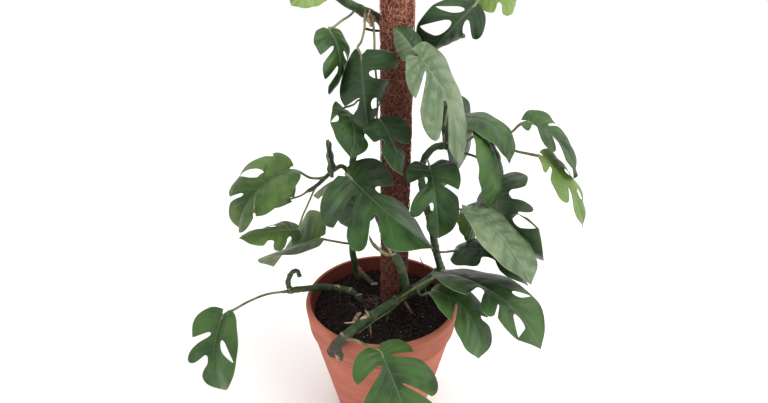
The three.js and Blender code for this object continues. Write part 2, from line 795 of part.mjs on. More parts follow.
// A point of lobe i: a is the share across the lobe and r the share out from the midrib
function lobePoint(leaf, side, cuts, i, a, r) {
  const before = cuts[i - 1];
  const after = cuts[i];
  const q = Math.max(0, (r - SLIT_START) / (1 - SLIT_START));
  const from = before ? before.at + before.gap * cutProfile(q, before.closed) : 0;
  const to = after ? after.at - after.gap * cutProfile(q, after.closed) : 1;
  const ribFrom = before ? before.at : 0;
  const ribTo = after ? after.at : 1;
  const start = cutStart(ribFrom + (ribTo - ribFrom) * a, cuts);
  let end = 1;
  if (before && !before.closed) {
    end -= LOBE_ROUND * (1 - a) ** 4;
  }
  if (after && !after.closed) {
    end -= LOBE_ROUND * a ** 4;
  }
  const s = r < SLIT_START ? start * r / SLIT_START : start + (end - start) * q;
  const cup = -LOBE_CUP * q * (2 * a - 1) ** 2;
  return bladePoint(leaf, side, from + (to - from) * a, s, cup);
}

// Upper face of a half leaf as loose triangles, cut into lobes that share their edges near the midrib
function halfBlade(leaf, side) {
  const cuts = leaf.cuts.filter((cut) => cut.side === side).sort((a, b) => a.at - b.at);
  const stops = ribStops(leaf);
  const rows = [0, SLIT_START, MIDDLE_ROW, 1];
  if (cuts.some((cut) => cut.closed)) {
    rows.splice(3, 0, SLIT_START + HOLE_END * (1 - SLIT_START));
  }
  const triangles = [];
  for (let i = 0; i <= cuts.length; i += 1) {
    const ribFrom = i > 0 ? cuts[i - 1].at : 0;
    const ribTo = i < cuts.length ? cuts[i].at : 1;
    const inLobe = stops.filter((stop) => stop >= ribFrom && stop <= ribTo);
    const shares = inLobe.map((stop) => (stop - ribFrom) / (ribTo - ribFrom));
    const grid = shares.map((a) => rows.map((r) => lobePoint(leaf, side, cuts, i, a, r)));
    for (let j = 0; j + 1 < grid.length; j += 1) {
      for (let k = 0; k + 1 < rows.length; k += 1) {
        const [a, b, c, d] = [grid[j][k], grid[j][k + 1], grid[j + 1][k + 1], grid[j + 1][k]];
        triangles.push(...(side === 'right' ? [[a, b, c], [a, c, d]] : [[a, c, b], [a, d, c]]));
      }
    }
  }
  return triangles;
}

// The blade as a closed solid: the upper face, the same face one blade thickness below, and the rim between
function bladeSolid(leaf) {
  const places = new Map();
  const top = [];
  const indexOf = (p) => {
    const key = [p.x, p.y, p.z].map((v) => v.toFixed(3)).join();
    if (!places.has(key)) {
      places.set(key, top.length);
      top.push(p);
    }
    return places.get(key);
  };
  const faces = [...halfBlade(leaf, 'left'), ...halfBlade(leaf, 'right')]
    .map((face) => face.map(indexOf))
    .filter(([a, b, c]) => a !== b && b !== c && c !== a);
  const normals = top.map(() => new THREE.Vector3());
  for (const [a, b, c] of faces) {
    const normal = top[b].clone().sub(top[a]).cross(top[c].clone().sub(top[a]));
    [a, b, c].forEach((i) => normals[i].add(normal));
  }
  const below = top.map((p, i) => p.clone().addScaledVector(normals[i].normalize(), -BLADE));
  const count = top.length;
  const index = [];
  for (const [a, b, c] of faces) {
    index.push(a, b, c, a + count, c + count, b + count);
  }
  for (const [a, b] of rimEdges(faces)) {
    index.push(b, a, a + count, b, a + count, b + count);
  }
  const geometry = new THREE.BufferGeometry();
  const positions = [...top, ...below].flatMap((p) => [p.x, p.y, p.z]);
  geometry.setAttribute('position', new THREE.BufferAttribute(new Float32Array(positions), 3));
  geometry.setIndex(index);
  return toSolid(geometry);
}

// Edges that belong to one face only, in that face's direction
function rimEdges(faces) {
  const seen = new Set(faces.flatMap(([a, b, c]) => [`${a} ${b}`, `${b} ${c}`, `${c} ${a}`]));
  return [...seen].map((edge) => edge.split(' ').map(Number)).filter(([a, b]) => !seen.has(`${b} ${a}`));
}

// The stalk runs on under the start of the midrib, and its foot stops just short of the stem
function stalkSolid(leaf, stems) {
  const { ahead, top } = leafAxes(leaf);
  const base = new THREE.Vector3(...leaf.base).addScaledVector(top, -BLADE / 2);
  const end = base.clone().addScaledVector(ahead, STALK_REACH).addScaledVector(top, -BLADE / 2);
  const path = [...leaf.petiole, base.toArray(), end.toArray()];
  const radius = leaf.length > BIG_LEAF ? BIG_STALK_RADIUS : STALK_RADIUS;
  const stalk = toSolid(bar(path, radius, STALK_SIDES, path.length + 1));
  return stalk.subtract(stems);
}

function leafSolid(leaf, stems) {
  return bladeSolid(leaf).add(stalkSolid(leaf, stems));
}

function piece(name, solid, color, roughness) {
  const material = new THREE.MeshStandardMaterial({ color, roughness, metalness: 0 });
  const mesh = new THREE.Mesh(toGeometry(solid), material);
  mesh.name = name;
  return mesh;
}

const PALE_LEAVES = ['leaf_upper_pale', 'leaf_right_pale', 'leaf_pole_pale', 'leaf_far_right_top'];
const YOUNG_LEAVES = ['leaf_top_right', 'leaf_far_right_low', 'leaf_top_left', 'leaf_left_low_back'];

function leafColor(name) {
  if (PALE_LEAVES.includes(name)) {
    return PALE_GREEN;
  }
  return YOUNG_LEAVES.includes(name) ? YOUNG_GREEN : LEAF_GREEN;
}

const clearance = join(Object.keys(STEMS).map((name) => stemSolid(name, GAP)));

const plant = new THREE.Group();
plant.add(piece('terracotta_pot', potSolid(), TERRACOTTA, 0.85));
plant.add(piece('potting_soil', soilSolid(clearance), SOIL_BROWN, 1));
plant.add(piece('pole_stake', stakeSolid(), STAKE_WOOD, 0.8));
plant.add(piece('coir_sleeve', coirSolid(), COIR_BROWN, 1));
for (const name of Object.keys(STEMS)) {
  plant.add(piece(name, stemSolid(name, 0), STEM_GREEN, 0.6));
}
for (const [name, leaf] of Object.entries(LEAVES)) {
  plant.add(piece(name, leafSolid(leaf, clearance), leafColor(name), 0.5));
}

export default plant;
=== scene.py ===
"""A mini monstera on a coir pole in a terracotta pot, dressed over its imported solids.

Lengths are millimetres in the frame of the part, with +Z up, -Y towards the viewer and the origin at the
centre of the pot's base. They become metres when a mesh is made.
"""
import math

import bpy
import numpy as np
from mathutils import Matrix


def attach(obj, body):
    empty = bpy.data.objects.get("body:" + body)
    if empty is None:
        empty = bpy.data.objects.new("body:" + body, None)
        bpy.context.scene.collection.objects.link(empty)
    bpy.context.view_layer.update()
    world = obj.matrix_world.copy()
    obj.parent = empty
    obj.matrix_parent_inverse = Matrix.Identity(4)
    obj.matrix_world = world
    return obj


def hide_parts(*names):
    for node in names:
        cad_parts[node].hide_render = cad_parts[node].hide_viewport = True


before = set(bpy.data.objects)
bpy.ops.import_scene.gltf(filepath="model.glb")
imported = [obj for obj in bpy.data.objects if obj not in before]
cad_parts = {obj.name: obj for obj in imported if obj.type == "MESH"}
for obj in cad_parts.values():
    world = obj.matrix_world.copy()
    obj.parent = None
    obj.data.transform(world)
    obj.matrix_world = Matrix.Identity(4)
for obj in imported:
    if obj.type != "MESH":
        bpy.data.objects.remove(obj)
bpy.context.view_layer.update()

MM = 0.001
TAU = 2 * math.pi
UP = np.array([0, 0, 1])
PATH_STEPS = 24

# Pot
POT_HEIGHT = 190
RIM_RADIUS = 105
BAND_HEIGHT = 40
BAND_LOW_RADIUS = 101.5
BODY_TOP_RADIUS = 98.4
BASE_RADIUS = 67.5
WALL = 7.5
FLOOR = 10
DRAIN_RADIUS = 9
POT_SIDES = 180
POT_WOBBLE = 0.0016
INSIDE_TONE = 0.9

# Soil; a ripple is given by its height, its size and its seed
SOIL_HEIGHT = 168
SOIL_RADIUS = 93.5
SOIL_SKIN = 12
SOIL_RINGS = 90
SOIL_SPOKES = 200
SOIL_RIPPLES = ((1.6, 70, 11), (1.2, 17, 12), (0.8, 6, 13))
SOIL_RISE = 2.0
CHIPS = 1500
CHIP_SIZES = (0.8, 3.0)
GRAINS = 46
GRAIN_SIZES = (0.7, 1.5)
CRUMB_ROWS = 4
CRUMB_SIDES = 6
ROOTS = 26
ROOT_PLACE = (-14, 14)
ROOT_SPREAD = 7
ROOT_REACH = (4, 9)
ROOT_BEND = 2
ROOT_RADIUS = (0.4, 0.9)
ROOT_SIDES = 5
ROOT_TAPER = (0.4, 0.8, 1, 1, 1, 0.9, 0.7, 0.3)

# Coir pole
POLE = (16.5, 20)
POLE_BOTTOM = 32
COIR_TOP = 612
COIR_RADIUS = 18.6
COIR_ROWS = 226
COIR_SIDES = 96
MAT_RIPPLES = ((0.45, 5.5, 31), (0.3, 2.8, 32))
STAKE_RADIUS = 8
STAKE_TOP = 617
STRANDS = 3300
STRAND_PLACES = 8
STRAND_SIDES = 3
STRAND_ROOM = 1.2
STRAND_BEND = 3.0
STRAND_HOOK = 2.0
STRAND_REACH = (3, 9)
STRAND_RADIUS = (0.14, 0.31)
# Painted shade on the coir: strongest below the first height and gone above the second
SHADE_BELOW = 425
LIT_ABOVE = 590

# Outline of a leaf, as shares of its length or half width
BACK_LOBE = 0.08
OVAL_BLUNT = 0.85
TIP_TAPER = 0.25
DRIP_TIP = 0.08
BASE_WIDTH = 0.1
SLIT_START = 0.3
LOBE_ROUND = 0.2
CUT_ROUND = 0.22
HOLE_WIDEST = 0.3
HOLE_END = 0.9
VEIN_SWEEP = 1.3
VEIN_STEP = 0.13
MIDRIB_PLACES = 56
NEAR_CUT = 0.004
MIDRIB_ROWS = (0, 0.018, 0.045, 0.09, 0.16, 0.23)
CUT_ROWS = np.array([
    0, 0.02, 0.05, 0.1, 0.16, 0.22, 0.3, 0.4, 0.5, 0.6, 0.7, 0.8, 0.87, 0.9, 0.93, 0.96, 0.985, 1,
])

# Relief of a leaf
BLADE = 0.7
LOBE_CUP = 2
QUILT = 0.5
QUILT_FROM = 0.25
GROOVE = 0.5
GROOVE_NARROW = 0.7
LONG_WAVE = 0.012
LONG_WAVES = 1.6
SHORT_WAVE = 0.9
SHORT_WAVES = 4.3
NO_BEND = 1e-6

# Leaf stalks
BIG_LEAF = 90
STALK_RADIUS = 1.25
BIG_STALK_RADIUS = 1.6
STALK_PLACES = 40
STALK_SIDES = 10
STALK_REACH = 0.1
FOOT_SWELL = 0.7
FOOT_LENGTH = 0.07
NECK_SWELL = 0.18
NECK_PLACE = 0.84
NECK_LENGTH = 0.05

# Stems, with lengths along them in radii
BAR_PLACES = 130
BAR_SIDES = 24
JOINT_SWELL = 0.17
JOINT_LENGTH = 0.6
JOINT_TILT = 0.35
SCAR_SWELL = 0.1
SCAR_LENGTH = 0.34
THREE_SIDED = 0.035
RING_DEPTH = 0.05
RING_STEP = 2.6
RING_SHARP = 0.02
WANDER = 0.05
WANDER_SIZE = 14
LUMP = 0.3
LUMP_SIZE = 5
BIT_PLACES = 16
BIT_SIDES = 9
BIT_FINISH = {"green": 0, "dry": 1, "pale": 2, "stalk": 3, "dark": 4}

# Colours
STEM_DEEP = (0.022, 0.045, 0.018)
STEM_LIGHT = (0.066, 0.112, 0.042)
STEM_BROWN = (0.115, 0.085, 0.050)
STEM_SCAR = (0.50, 0.36, 0.25)
STEM_TORN = (0.030, 0.022, 0.016)
STEM_SPECK = (0.30, 0.25, 0.16)
CLAY_DEEP = (0.365, 0.108, 0.072)
CLAY_LIGHT = (0.48, 0.160, 0.106)
CLAY_GRIT = (0.60, 0.28, 0.20)
CLAY_BLOOM = (0.66, 0.42, 0.33)
# The next colour is dark inside the pot and is also the painted shade in the groove under the band
CLAY_INSIDE = (0.14, 0.026, 0.019)
SOIL_DEEP = (0.007, 0.005, 0.006)
SOIL_LIGHT = (0.026, 0.015, 0.013)
SOIL_BROWN = (0.10, 0.06, 0.04)
WOOD_DEEP = (0.28, 0.17, 0.09)
WOOD_LIGHT = (0.50, 0.35, 0.20)
FLOOR_DEEP = (0.95, 0.94, 0.935)
FLOOR_LIGHT = (0.97, 0.96, 0.955)

# Camera and room; floor and lights are in metres, and each light has a place, a size and watts
CAMERA_PLACE = (2.27, -637.1, 668.9)
CAMERA_DOWN = 32.6
CAMERA_LENS = 27.06
CAMERA_SHIFT = 0.0658
SKY_STRENGTH = 1.02
SKY_COLOUR = (1.0, 0.985, 0.98, 1)
FLOOR_REACH = 14
LIGHT_AIM = (0, 0, 0.3)
WINDOW_LIGHT = ((1.7, -1.0, 2.3), 2.0, 52)
CEILING_LIGHT = ((-1.0, 0.6, 2.6), 1.6, 12)


def slit(side, at, inner, gap):
    """A cut that is open at the margin: its place along the midrib, its inner end and its half width."""
    return {"side": side, "at": at, "inner": inner, "gap": gap, "closed": False}


def hole(side, at, inner, gap):
    """A cut that the margin closes again, given as a slit is."""
    return {**slit(side, at, inner, gap), "closed": True}


def leaf(twist=0, sweep=1.6, cuts=(), **facts):
    """One leaf's facts, with its angles in radians and never quite zero, as some are divided by."""
    facts.update(twist=twist, sweep=sweep, cuts=cuts)
    for angle in ("aim", "dip", "roll", "twist", "arch", "fold", "droop"):
        facts[angle] = math.radians(facts[angle]) or NO_BEND
    return facts


def bit(kind, first, last, *path):
    """A small bit grown on a stem: what it is, its radius at its start and its end, and its path."""
    return {"kind": kind, "radius": (first, last), "path": path}


# One entry for each leaf. The base is where the blade starts. The midrib leaves it along the compass angle
# aim and the downward angle dip, the blade is rolled about the midrib, and its far end is turned by twist.
# The midrib bends down by arch in all. The halves rise by fold and then bend down by droop.
LEAVES = {
    "low_left": leaf(
        base=(-203, -60, 204), aim=-110, dip=33, roll=-5,
        length=101, left=41, right=42, sweep=2.2, arch=67, fold=28, droop=33,
        cuts=[
            hole("left", 0.55, 0.3, 0.05), slit("right", 0.51, 0.18, 0.036),
            slit("right", 0.73, 0.26, 0.05),
        ],
        stalk=[(-128, 1, 197), (-155, -8, 199), (-175, -30, 204), (-190, -50, 206)],
    ),
    "low_front": leaf(
        base=(-3, -117, 196), aim=-65, dip=13, roll=-9, twist=22,
        length=124, left=51, right=54, sweep=2.4, arch=90, fold=11, droop=24,
        cuts=[
            slit("left", 0.36, 0.22, 0.027), slit("left", 0.64, 0.19, 0.013),
            slit("right", 0.45, 0.12, 0.048),
        ],
        stalk=[(-50, -99, 197), (-33, -106, 203), (-17, -113, 199)],
    ),
    "left_mid_back": leaf(
        base=(-108, -21, 388), aim=-146, dip=2, roll=17,
        length=99, left=47, right=48, sweep=2.4, arch=90, fold=45, droop=101,
        cuts=[
            slit("left", 0.67, 0.3, 0.009), slit("right", 0.29, 0.6, 0.027),
            hole("right", 0.57, 0.17, 0.05), slit("right", 0.77, 0.27, 0.017),
        ],
        stalk=[(-70, -3, 369), (-86, -6, 371), (-100, -5, 379)],
    ),
    "left_mid_front": leaf(
        base=(-117, 7, 337), aim=-193, dip=-7, roll=20, twist=-11,
        length=76, left=34, right=39, arch=75, fold=25, droop=15,
        stalk=[(-88, -11, 357), (-97, -17, 353), (-104, -21, 352)],
    ),
    "left_low_front": leaf(
        base=(-82, 5, 279), aim=-198, dip=19, roll=17, twist=35,
        length=100, left=48, right=58, arch=41, fold=25, droop=16,
        stalk=[(-43, 55, 240), (-52, 44, 248), (-68, 24, 264)],
    ),
    "left_low_back": leaf(
        base=(-105, -20, 308), aim=-145, dip=-19, roll=31, twist=27,
        length=68, left=28, right=29, sweep=1.8, arch=29, fold=-7, droop=52,
        cuts=[
            slit("left", 0.37, 0.38, 0.046), slit("left", 0.64, 0.52, 0.05),
            hole("right", 0.56, 0.31, 0.05),
        ],
        stalk=[(-80, -8, 361), (-89, -13, 342), (-97, -17, 326)],
    ),
    "left_young": leaf(
        base=(-58, -9, 381), aim=-123, dip=-67, roll=64, twist=2,
        length=45, left=18, right=19, arch=-14, fold=18, droop=32,
        stalk=[(-61, 2, 375), (-59, -3, 377)],
    ),
    "centre_big": leaf(
        base=(-35, -70, 403), aim=-23, dip=41, roll=-23, twist=-41,
        length=111, left=69, right=74, sweep=2.4, arch=-20, fold=-12, droop=-2,
        cuts=[
            slit("left", 0.54, 0.24, 0.05), slit("right", 0.45, 0.14, 0.041),
            slit("right", 0.68, 0.2, 0.038),
        ],
        stalk=[(-39, 32, 333), (-40, 0, 360), (-40, -38, 388), (-39, -60, 401)],
    ),
    "centre_right": leaf(
        base=(54, -32, 397), aim=-83, dip=8, roll=-3, twist=21,
        length=84, left=35, right=37, sweep=2.2, arch=78, fold=24, droop=20,
        cuts=[
            slit("left", 0.58, 0.27, 0.021), slit("right", 0.51, 0.17, 0.065),
            slit("right", 0.78, 0.16, 0.04),
        ],
        stalk=[(52, 26, 379), (54, 4, 389), (54, -17, 395)],
    ),
    "upper_left": leaf(
        base=(-54, -15, 542), aim=-44, dip=37, roll=6, twist=-23,
        length=70, left=29, right=31, sweep=2.1, arch=95, fold=1, droop=27,
        cuts=[
            hole("left", 0.58, 0.27, 0.04), slit("right", 0.51, 0.2, 0.031),
            slit("right", 0.74, 0.19, 0.04),
        ],
        stalk=[(-26, 18, 558), (-33, 8, 552), (-42, -2, 548), (-49, -10, 544)],
    ),
    "upper_mid": leaf(
        base=(-21, -47, 524), aim=-68, dip=84, roll=-50, twist=-60,
        length=71, left=54, right=41, sweep=2, arch=11, fold=-20, droop=57,
        cuts=[
            slit("left", 0.49, 0.14, 0.068), hole("left", 0.8, 0.28, 0.05),
            slit("right", 0.78, 0.14, 0.044),
        ],
        stalk=[(-19, 24, 553), (-18, 3, 548), (-18, -15, 542), (-21, -29, 533), (-24, -41, 530)],
    ),
    "mid_left": leaf(
        base=(-43, -11, 458), aim=-55, dip=10, roll=41, twist=60,
        length=64, left=30, right=25, sweep=1.7, arch=61, fold=8, droop=34,
        cuts=[slit("left", 0.7, 0.5, 0.037), hole("right", 0.46, 0.65, 0.04)],
        stalk=[(-22, 20, 455), (-27, 11, 460), (-32, 2, 458)],
    ),
    "mid_pole": leaf(
        base=(-3, -50, 460), aim=-65, dip=9, roll=-8, twist=-48,
        length=66, left=33, right=27, sweep=1.5, arch=66, fold=-7, droop=-3,
        cuts=[slit("left", 0.65, 0.12, 0.047), slit("right", 0.58, 0.4, 0.046)],
        stalk=[
            (-12, 30, 548), (-9, 13, 540), (-8, 6, 527), (-8, 1, 508), (-6, 1, 486), (-5, -1, 474),
            (-5, -6, 457), (-6, -21, 448), (-5, -40, 450),
        ],
    ),
    "upper_right": leaf(
        base=(96, -10, 567), aim=233, dip=20, roll=43, twist=-51,
        length=102, left=45, right=34, sweep=2.4, arch=160, fold=-21, droop=37,
        cuts=[
            slit("left", 0.51, 0.12, 0.063), hole("right", 0.45, 0.12, 0.05),
            hole("right", 0.65, 0.12, 0.07),
        ],
        stalk=[(28, 44, 592), (58, 32, 614), (92, 8, 610), (103, -4, 590)],
    ),
    "top_right": leaf(
        base=(101, 10, 580), aim=-19, dip=14, roll=-68, twist=-4,
        length=53, left=22, right=24, arch=78, fold=11, droop=29,
        cuts=[slit("right", 0.59, 0.36, 0.051)],
        stalk=[(30, 43, 600), (66, 38, 626), (96, 22, 614), (103, 14, 592)],
    ),
    "pole_pale": leaf(
        base=(37, -38, 520), aim=-203, dip=-57, roll=47, twist=-25,
        length=44, left=18, right=17, arch=63, fold=-6, droop=53,
        stalk=[(18, 50, 508), (36, 38, 517), (39, 11, 526), (37, -14, 530)],
    ),
    "upper_pale": leaf(
        base=(36, -65, 527), aim=-9, dip=45, roll=-18, twist=-4,
        length=118, left=54, right=59, sweep=2.4, arch=41, fold=4, droop=23,
        cuts=[slit("right", 0.39, 0.12, 0.027), slit("right", 0.68, 0.12, 0.038)],
        stalk=[(17, 49, 480), (36, 37, 488), (39, 9, 499), (38, -28, 508), (36, -59, 518)],
    ),
    "top_left": leaf(
        base=(-60, -8, 582), aim=-112, dip=-9, roll=31, twist=-15,
        length=45, left=18, right=19, arch=52, fold=7, droop=40,
        stalk=[(-50, 4, 578), (-54, -2, 583)],
    ),
    "right_shade": leaf(
        base=(84, 65, 439), aim=-28, dip=51, roll=-15, twist=-14,
        length=98, left=41, right=41, arch=64, fold=13, droop=33,
        cuts=[slit("left", 0.45, 0.5, 0.037)],
        stalk=[(75, 21, 400), (75, 36, 415), (79, 43, 435)],
    ),
    "right_arch": leaf(
        base=(88, -1, 442), aim=-18, dip=-22, roll=4, twist=9,
        length=85, left=36, right=35, arch=106, fold=6, droop=21,
        cuts=[hole("left", 0.6, 0.6, 0.02)],
        stalk=[(78, 20, 401), (83, 12, 419), (84, 5, 434)],
    ),
    "right_hang": leaf(
        base=(109, -22, 436), aim=-25, dip=33, roll=18, twist=26,
        length=91, left=40, right=40, arch=82, fold=10, droop=64,
        cuts=[slit("left", 0.65, 0.5, 0.039)],
        stalk=[(80, 20, 399), (94, 4, 417), (102, -12, 431)],
    ),
    "far_right_top": leaf(
        base=(172, 25, 430), aim=-23, dip=10, roll=-8, twist=-13,
        length=92, left=40, right=40, sweep=2.1, arch=66, fold=24, droop=46,
        cuts=[
            slit("left", 0.5, 0.24, 0.023), slit("right", 0.33, 0.16, 0.055),
            slit("right", 0.61, 0.19, 0.047),
        ],
        stalk=[(81, 23, 402), (103, 30, 416), (137, 30, 407), (157, 30, 415), (164, 28, 424)],
    ),
    "far_right_low": leaf(
        base=(193, 5, 393), aim=-27, dip=32, roll=2,
        length=95, left=39, right=41, sweep=2, arch=39, fold=19, droop=45,
        cuts=[
            hole("left", 0.53, 0.3, 0.04), hole("left", 0.74, 0.4, 0.04),
            slit("right", 0.34, 0.38, 0.028), slit("right", 0.67, 0.2, 0.035),
        ],
        stalk=[
            (80, 21, 399), (100, 18, 407), (121, 18, 421), (140, 16, 414), (157, 13, 399),
            (177, 9, 395),
        ],
    ),
    "right_back": leaf(
        base=(143, 5, 365), aim=-116, dip=24, roll=-37, twist=41,
        length=126, left=60, right=57, sweep=1.7, arch=124, fold=-1, droop=24,
        cuts=[
            slit("left", 0.39, 0.39, 0.048), slit("left", 0.52, 0.6, 0.011),
            hole("left", 0.57, 0.43, 0.04),
        ],
        stalk=[(77, 21, 398), (100, 14, 394), (116, 14, 388), (130, 9, 376)],
    ),
    "right_pale": leaf(
        base=(102, -55, 356), aim=-43, dip=18, roll=19, twist=11,
        length=102, left=44, right=46, arch=27, fold=21, droop=40,
        stalk=[(60, 31, 304), (80, 8, 317), (89, -22, 337), (96, -42, 347)],
    ),
    "right_low": leaf(
        base=(77, -62, 271), aim=-30, dip=-11, roll=23, twist=15,
        length=137, left=60, right=59, sweep=1.4, arch=56, fold=8, droop=16,
        cuts=[
            hole("left", 0.64, 0.41, 0.03), slit("right", 0.5, 0.22, 0.039),
            slit("right", 0.65, 0.4, 0.008), hole("right", 0.82, 0.12, 0.05),
        ],
        stalk=[(21, -16, 195), (36, -32, 222), (54, -46, 246), (67, -56, 262)],
    ),
    "right_dark": leaf(
        base=(92, -38, 289), aim=-20, dip=-30, roll=-1, twist=-19,
        length=102, left=43, right=44, sweep=1.5, arch=93, fold=5, droop=36,
        cuts=[slit("right", 0.52, 0.43, 0.071)],
        stalk=[(74, 38, 237), (81, 10, 255), (86, -18, 274)],
    ),
    "pot_right": leaf(
        base=(64, -92, 266), aim=-21, dip=5, roll=15, twist=32,
        length=98, left=42, right=41, sweep=1.8, arch=85, fold=10, droop=28,
        cuts=[slit("left", 0.7, 0.41, 0.025), slit("right", 0.48, 0.16, 0.02)],
        stalk=[(48, 4, 195), (51, -28, 212), (57, -62, 241)],
    ),
    "right_small": leaf(
        base=(100, 2, 316), aim=-13, dip=40, roll=-12, twist=5,
        length=46, left=19, right=20, arch=49, fold=6, droop=50,
        stalk=[(63, 31, 292), (83, 30, 299)],
    ),
    "centre_shade": leaf(
        base=(-18, -34, 359), aim=-142, dip=44, roll=60,
        length=55, left=25, right=22, arch=72, fold=7, droop=28,
        cuts=[slit("left", 0.74, 0.4, 0.073)],
        stalk=[(-7, -22, 338), (-12, -30, 351)],
    ),
    "back_mid": leaf(
        base=(10, 84, 322), aim=90, dip=0, roll=0,
        length=99, left=42, right=42, sweep=1.7, arch=44, fold=8, droop=35,
        cuts=[
            slit("left", 0.35, 0.3, 0.05), slit("left", 0.62, 0.35, 0.05),
            slit("right", 0.4, 0.3, 0.05), hole("right", 0.66, 0.35, 0.04),
        ],
        stalk=[(20, 50, 308), (16, 66, 324)],
    ),
    "back_left": leaf(
        base=(-26, 84, 330), aim=147, dip=5, roll=-8,
        length=92, left=40, right=40, sweep=1.7, arch=55, fold=8, droop=35,
        cuts=[slit("left", 0.4, 0.3, 0.05), slit("right", 0.33, 0.3, 0.05), slit("right", 0.6, 0.3, 0.05)],
        stalk=[(20, 50, 330), (0, 66, 342)],
    ),
    "back_right": leaf(
        base=(42, 84, 338), aim=50, dip=5, roll=8,
        length=80, left=34, right=34, sweep=1.7, arch=55, fold=8, droop=35,
        cuts=[slit("left", 0.35, 0.3, 0.05), slit("left", 0.62, 0.3, 0.05), slit("right", 0.42, 0.3, 0.05)],
        stalk=[(20, 50, 318), (32, 68, 336)],
    ),
}

# Each stem is one or more bars: a path, a radius at its start and end, and the places of its joints
STEMS = {
    "main_stem": [
        dict(
            path=[(-62, -101, 178), (-54, -102, 193), (-45, -95, 199), (-25, -65, 197), (14, -23, 195),
                  (52, 16, 195), (85, 51, 198)],
            radius=(6.3, 6.2), joints=(0.13, 0.36, 0.57, 0.74, 0.97), torn=0.12,
        ),
        dict(
            path=[(85, 51, 198), (74, 38, 240), (65, 32, 284), (55, 30, 322), (49, 28, 363),
                  (53, 25, 384), (65, 22, 399), (80, 20, 401)],
            radius=(5.4, 4.2), joints=(0.02, 0.22, 0.4, 0.57, 0.74, 0.97),
        ),
        dict(
            path=[(34, -3, 196), (23, -13, 250), (12, -16, 275), (4, -19, 299), (-4, -22, 325),
                  (-10, -23, 346)],
            radius=(5.8, 4.6), joints=(0.3, 0.52, 0.75, 0.97),
        ),
        dict(path=[(14, -23, 195), (8, -27, 178), (4, -26, 140)], radius=(1.6, 1.0), joints=()),
        dict(path=[(58, 22, 195), (62, 18, 178), (60, 14, 145)], radius=(1.6, 1.0), joints=()),
    ],
    "left_stem": [
        dict(
            path=[(-20, 14, 128), (-22, 15, 155), (-34, 19, 172), (-46, 27, 178), (-81, 20, 190),
                  (-106, 4, 199), (-130, 1, 198)],
            radius=(5, 4.2), joints=(0.42, 0.62, 0.97),
        ),
        dict(
            path=[(-126, 2, 197), (-129, 6, 208), (-122, 8, 224), (-115, 8, 226), (-113, 8, 217)],
            radius=(3.6, 2.6), joints=(0.5, 0.95),
        ),
    ],
    "back_stem": [
        dict(
            path=[(-36, 70, 128), (-37, 70, 175), (-43, 58, 228), (-38, 42, 293), (-39, 32, 336),
                  (-37, 25, 374), (-29, 22, 420), (-22, 20, 461)],
            radius=(5, 3.8), joints=(0.18, 0.4, 0.6, 0.78, 0.95),
        ),
        dict(
            path=[(-38, 28, 355), (-50, 14, 377), (-63, 0, 374), (-77, -7, 363), (-89, -12, 356)],
            radius=(2.8, 2.2), joints=(0.5, 0.97),
        ),
    ],
    "climbing_stem": [
        dict(
            path=[(24, 54, 128), (22, 50, 180), (20, 50, 290), (18, 50, 390), (14, 49, 480), (8, 46, 520),
                  (-3, 36, 543), (-21, 22, 554), (-42, 8, 568), (-54, 2, 584)],
            radius=(5.5, 4.6), joints=(0.1, 0.22, 0.36, 0.5, 0.63, 0.76, 0.88, 0.97),
        ),
        dict(
            path=[(16, 50, 470), (22, 48, 530), (26, 46, 575), (30, 42, 602)],
            radius=(4.2, 3.4), joints=(0.5, 0.95),
        ),
    ],
}

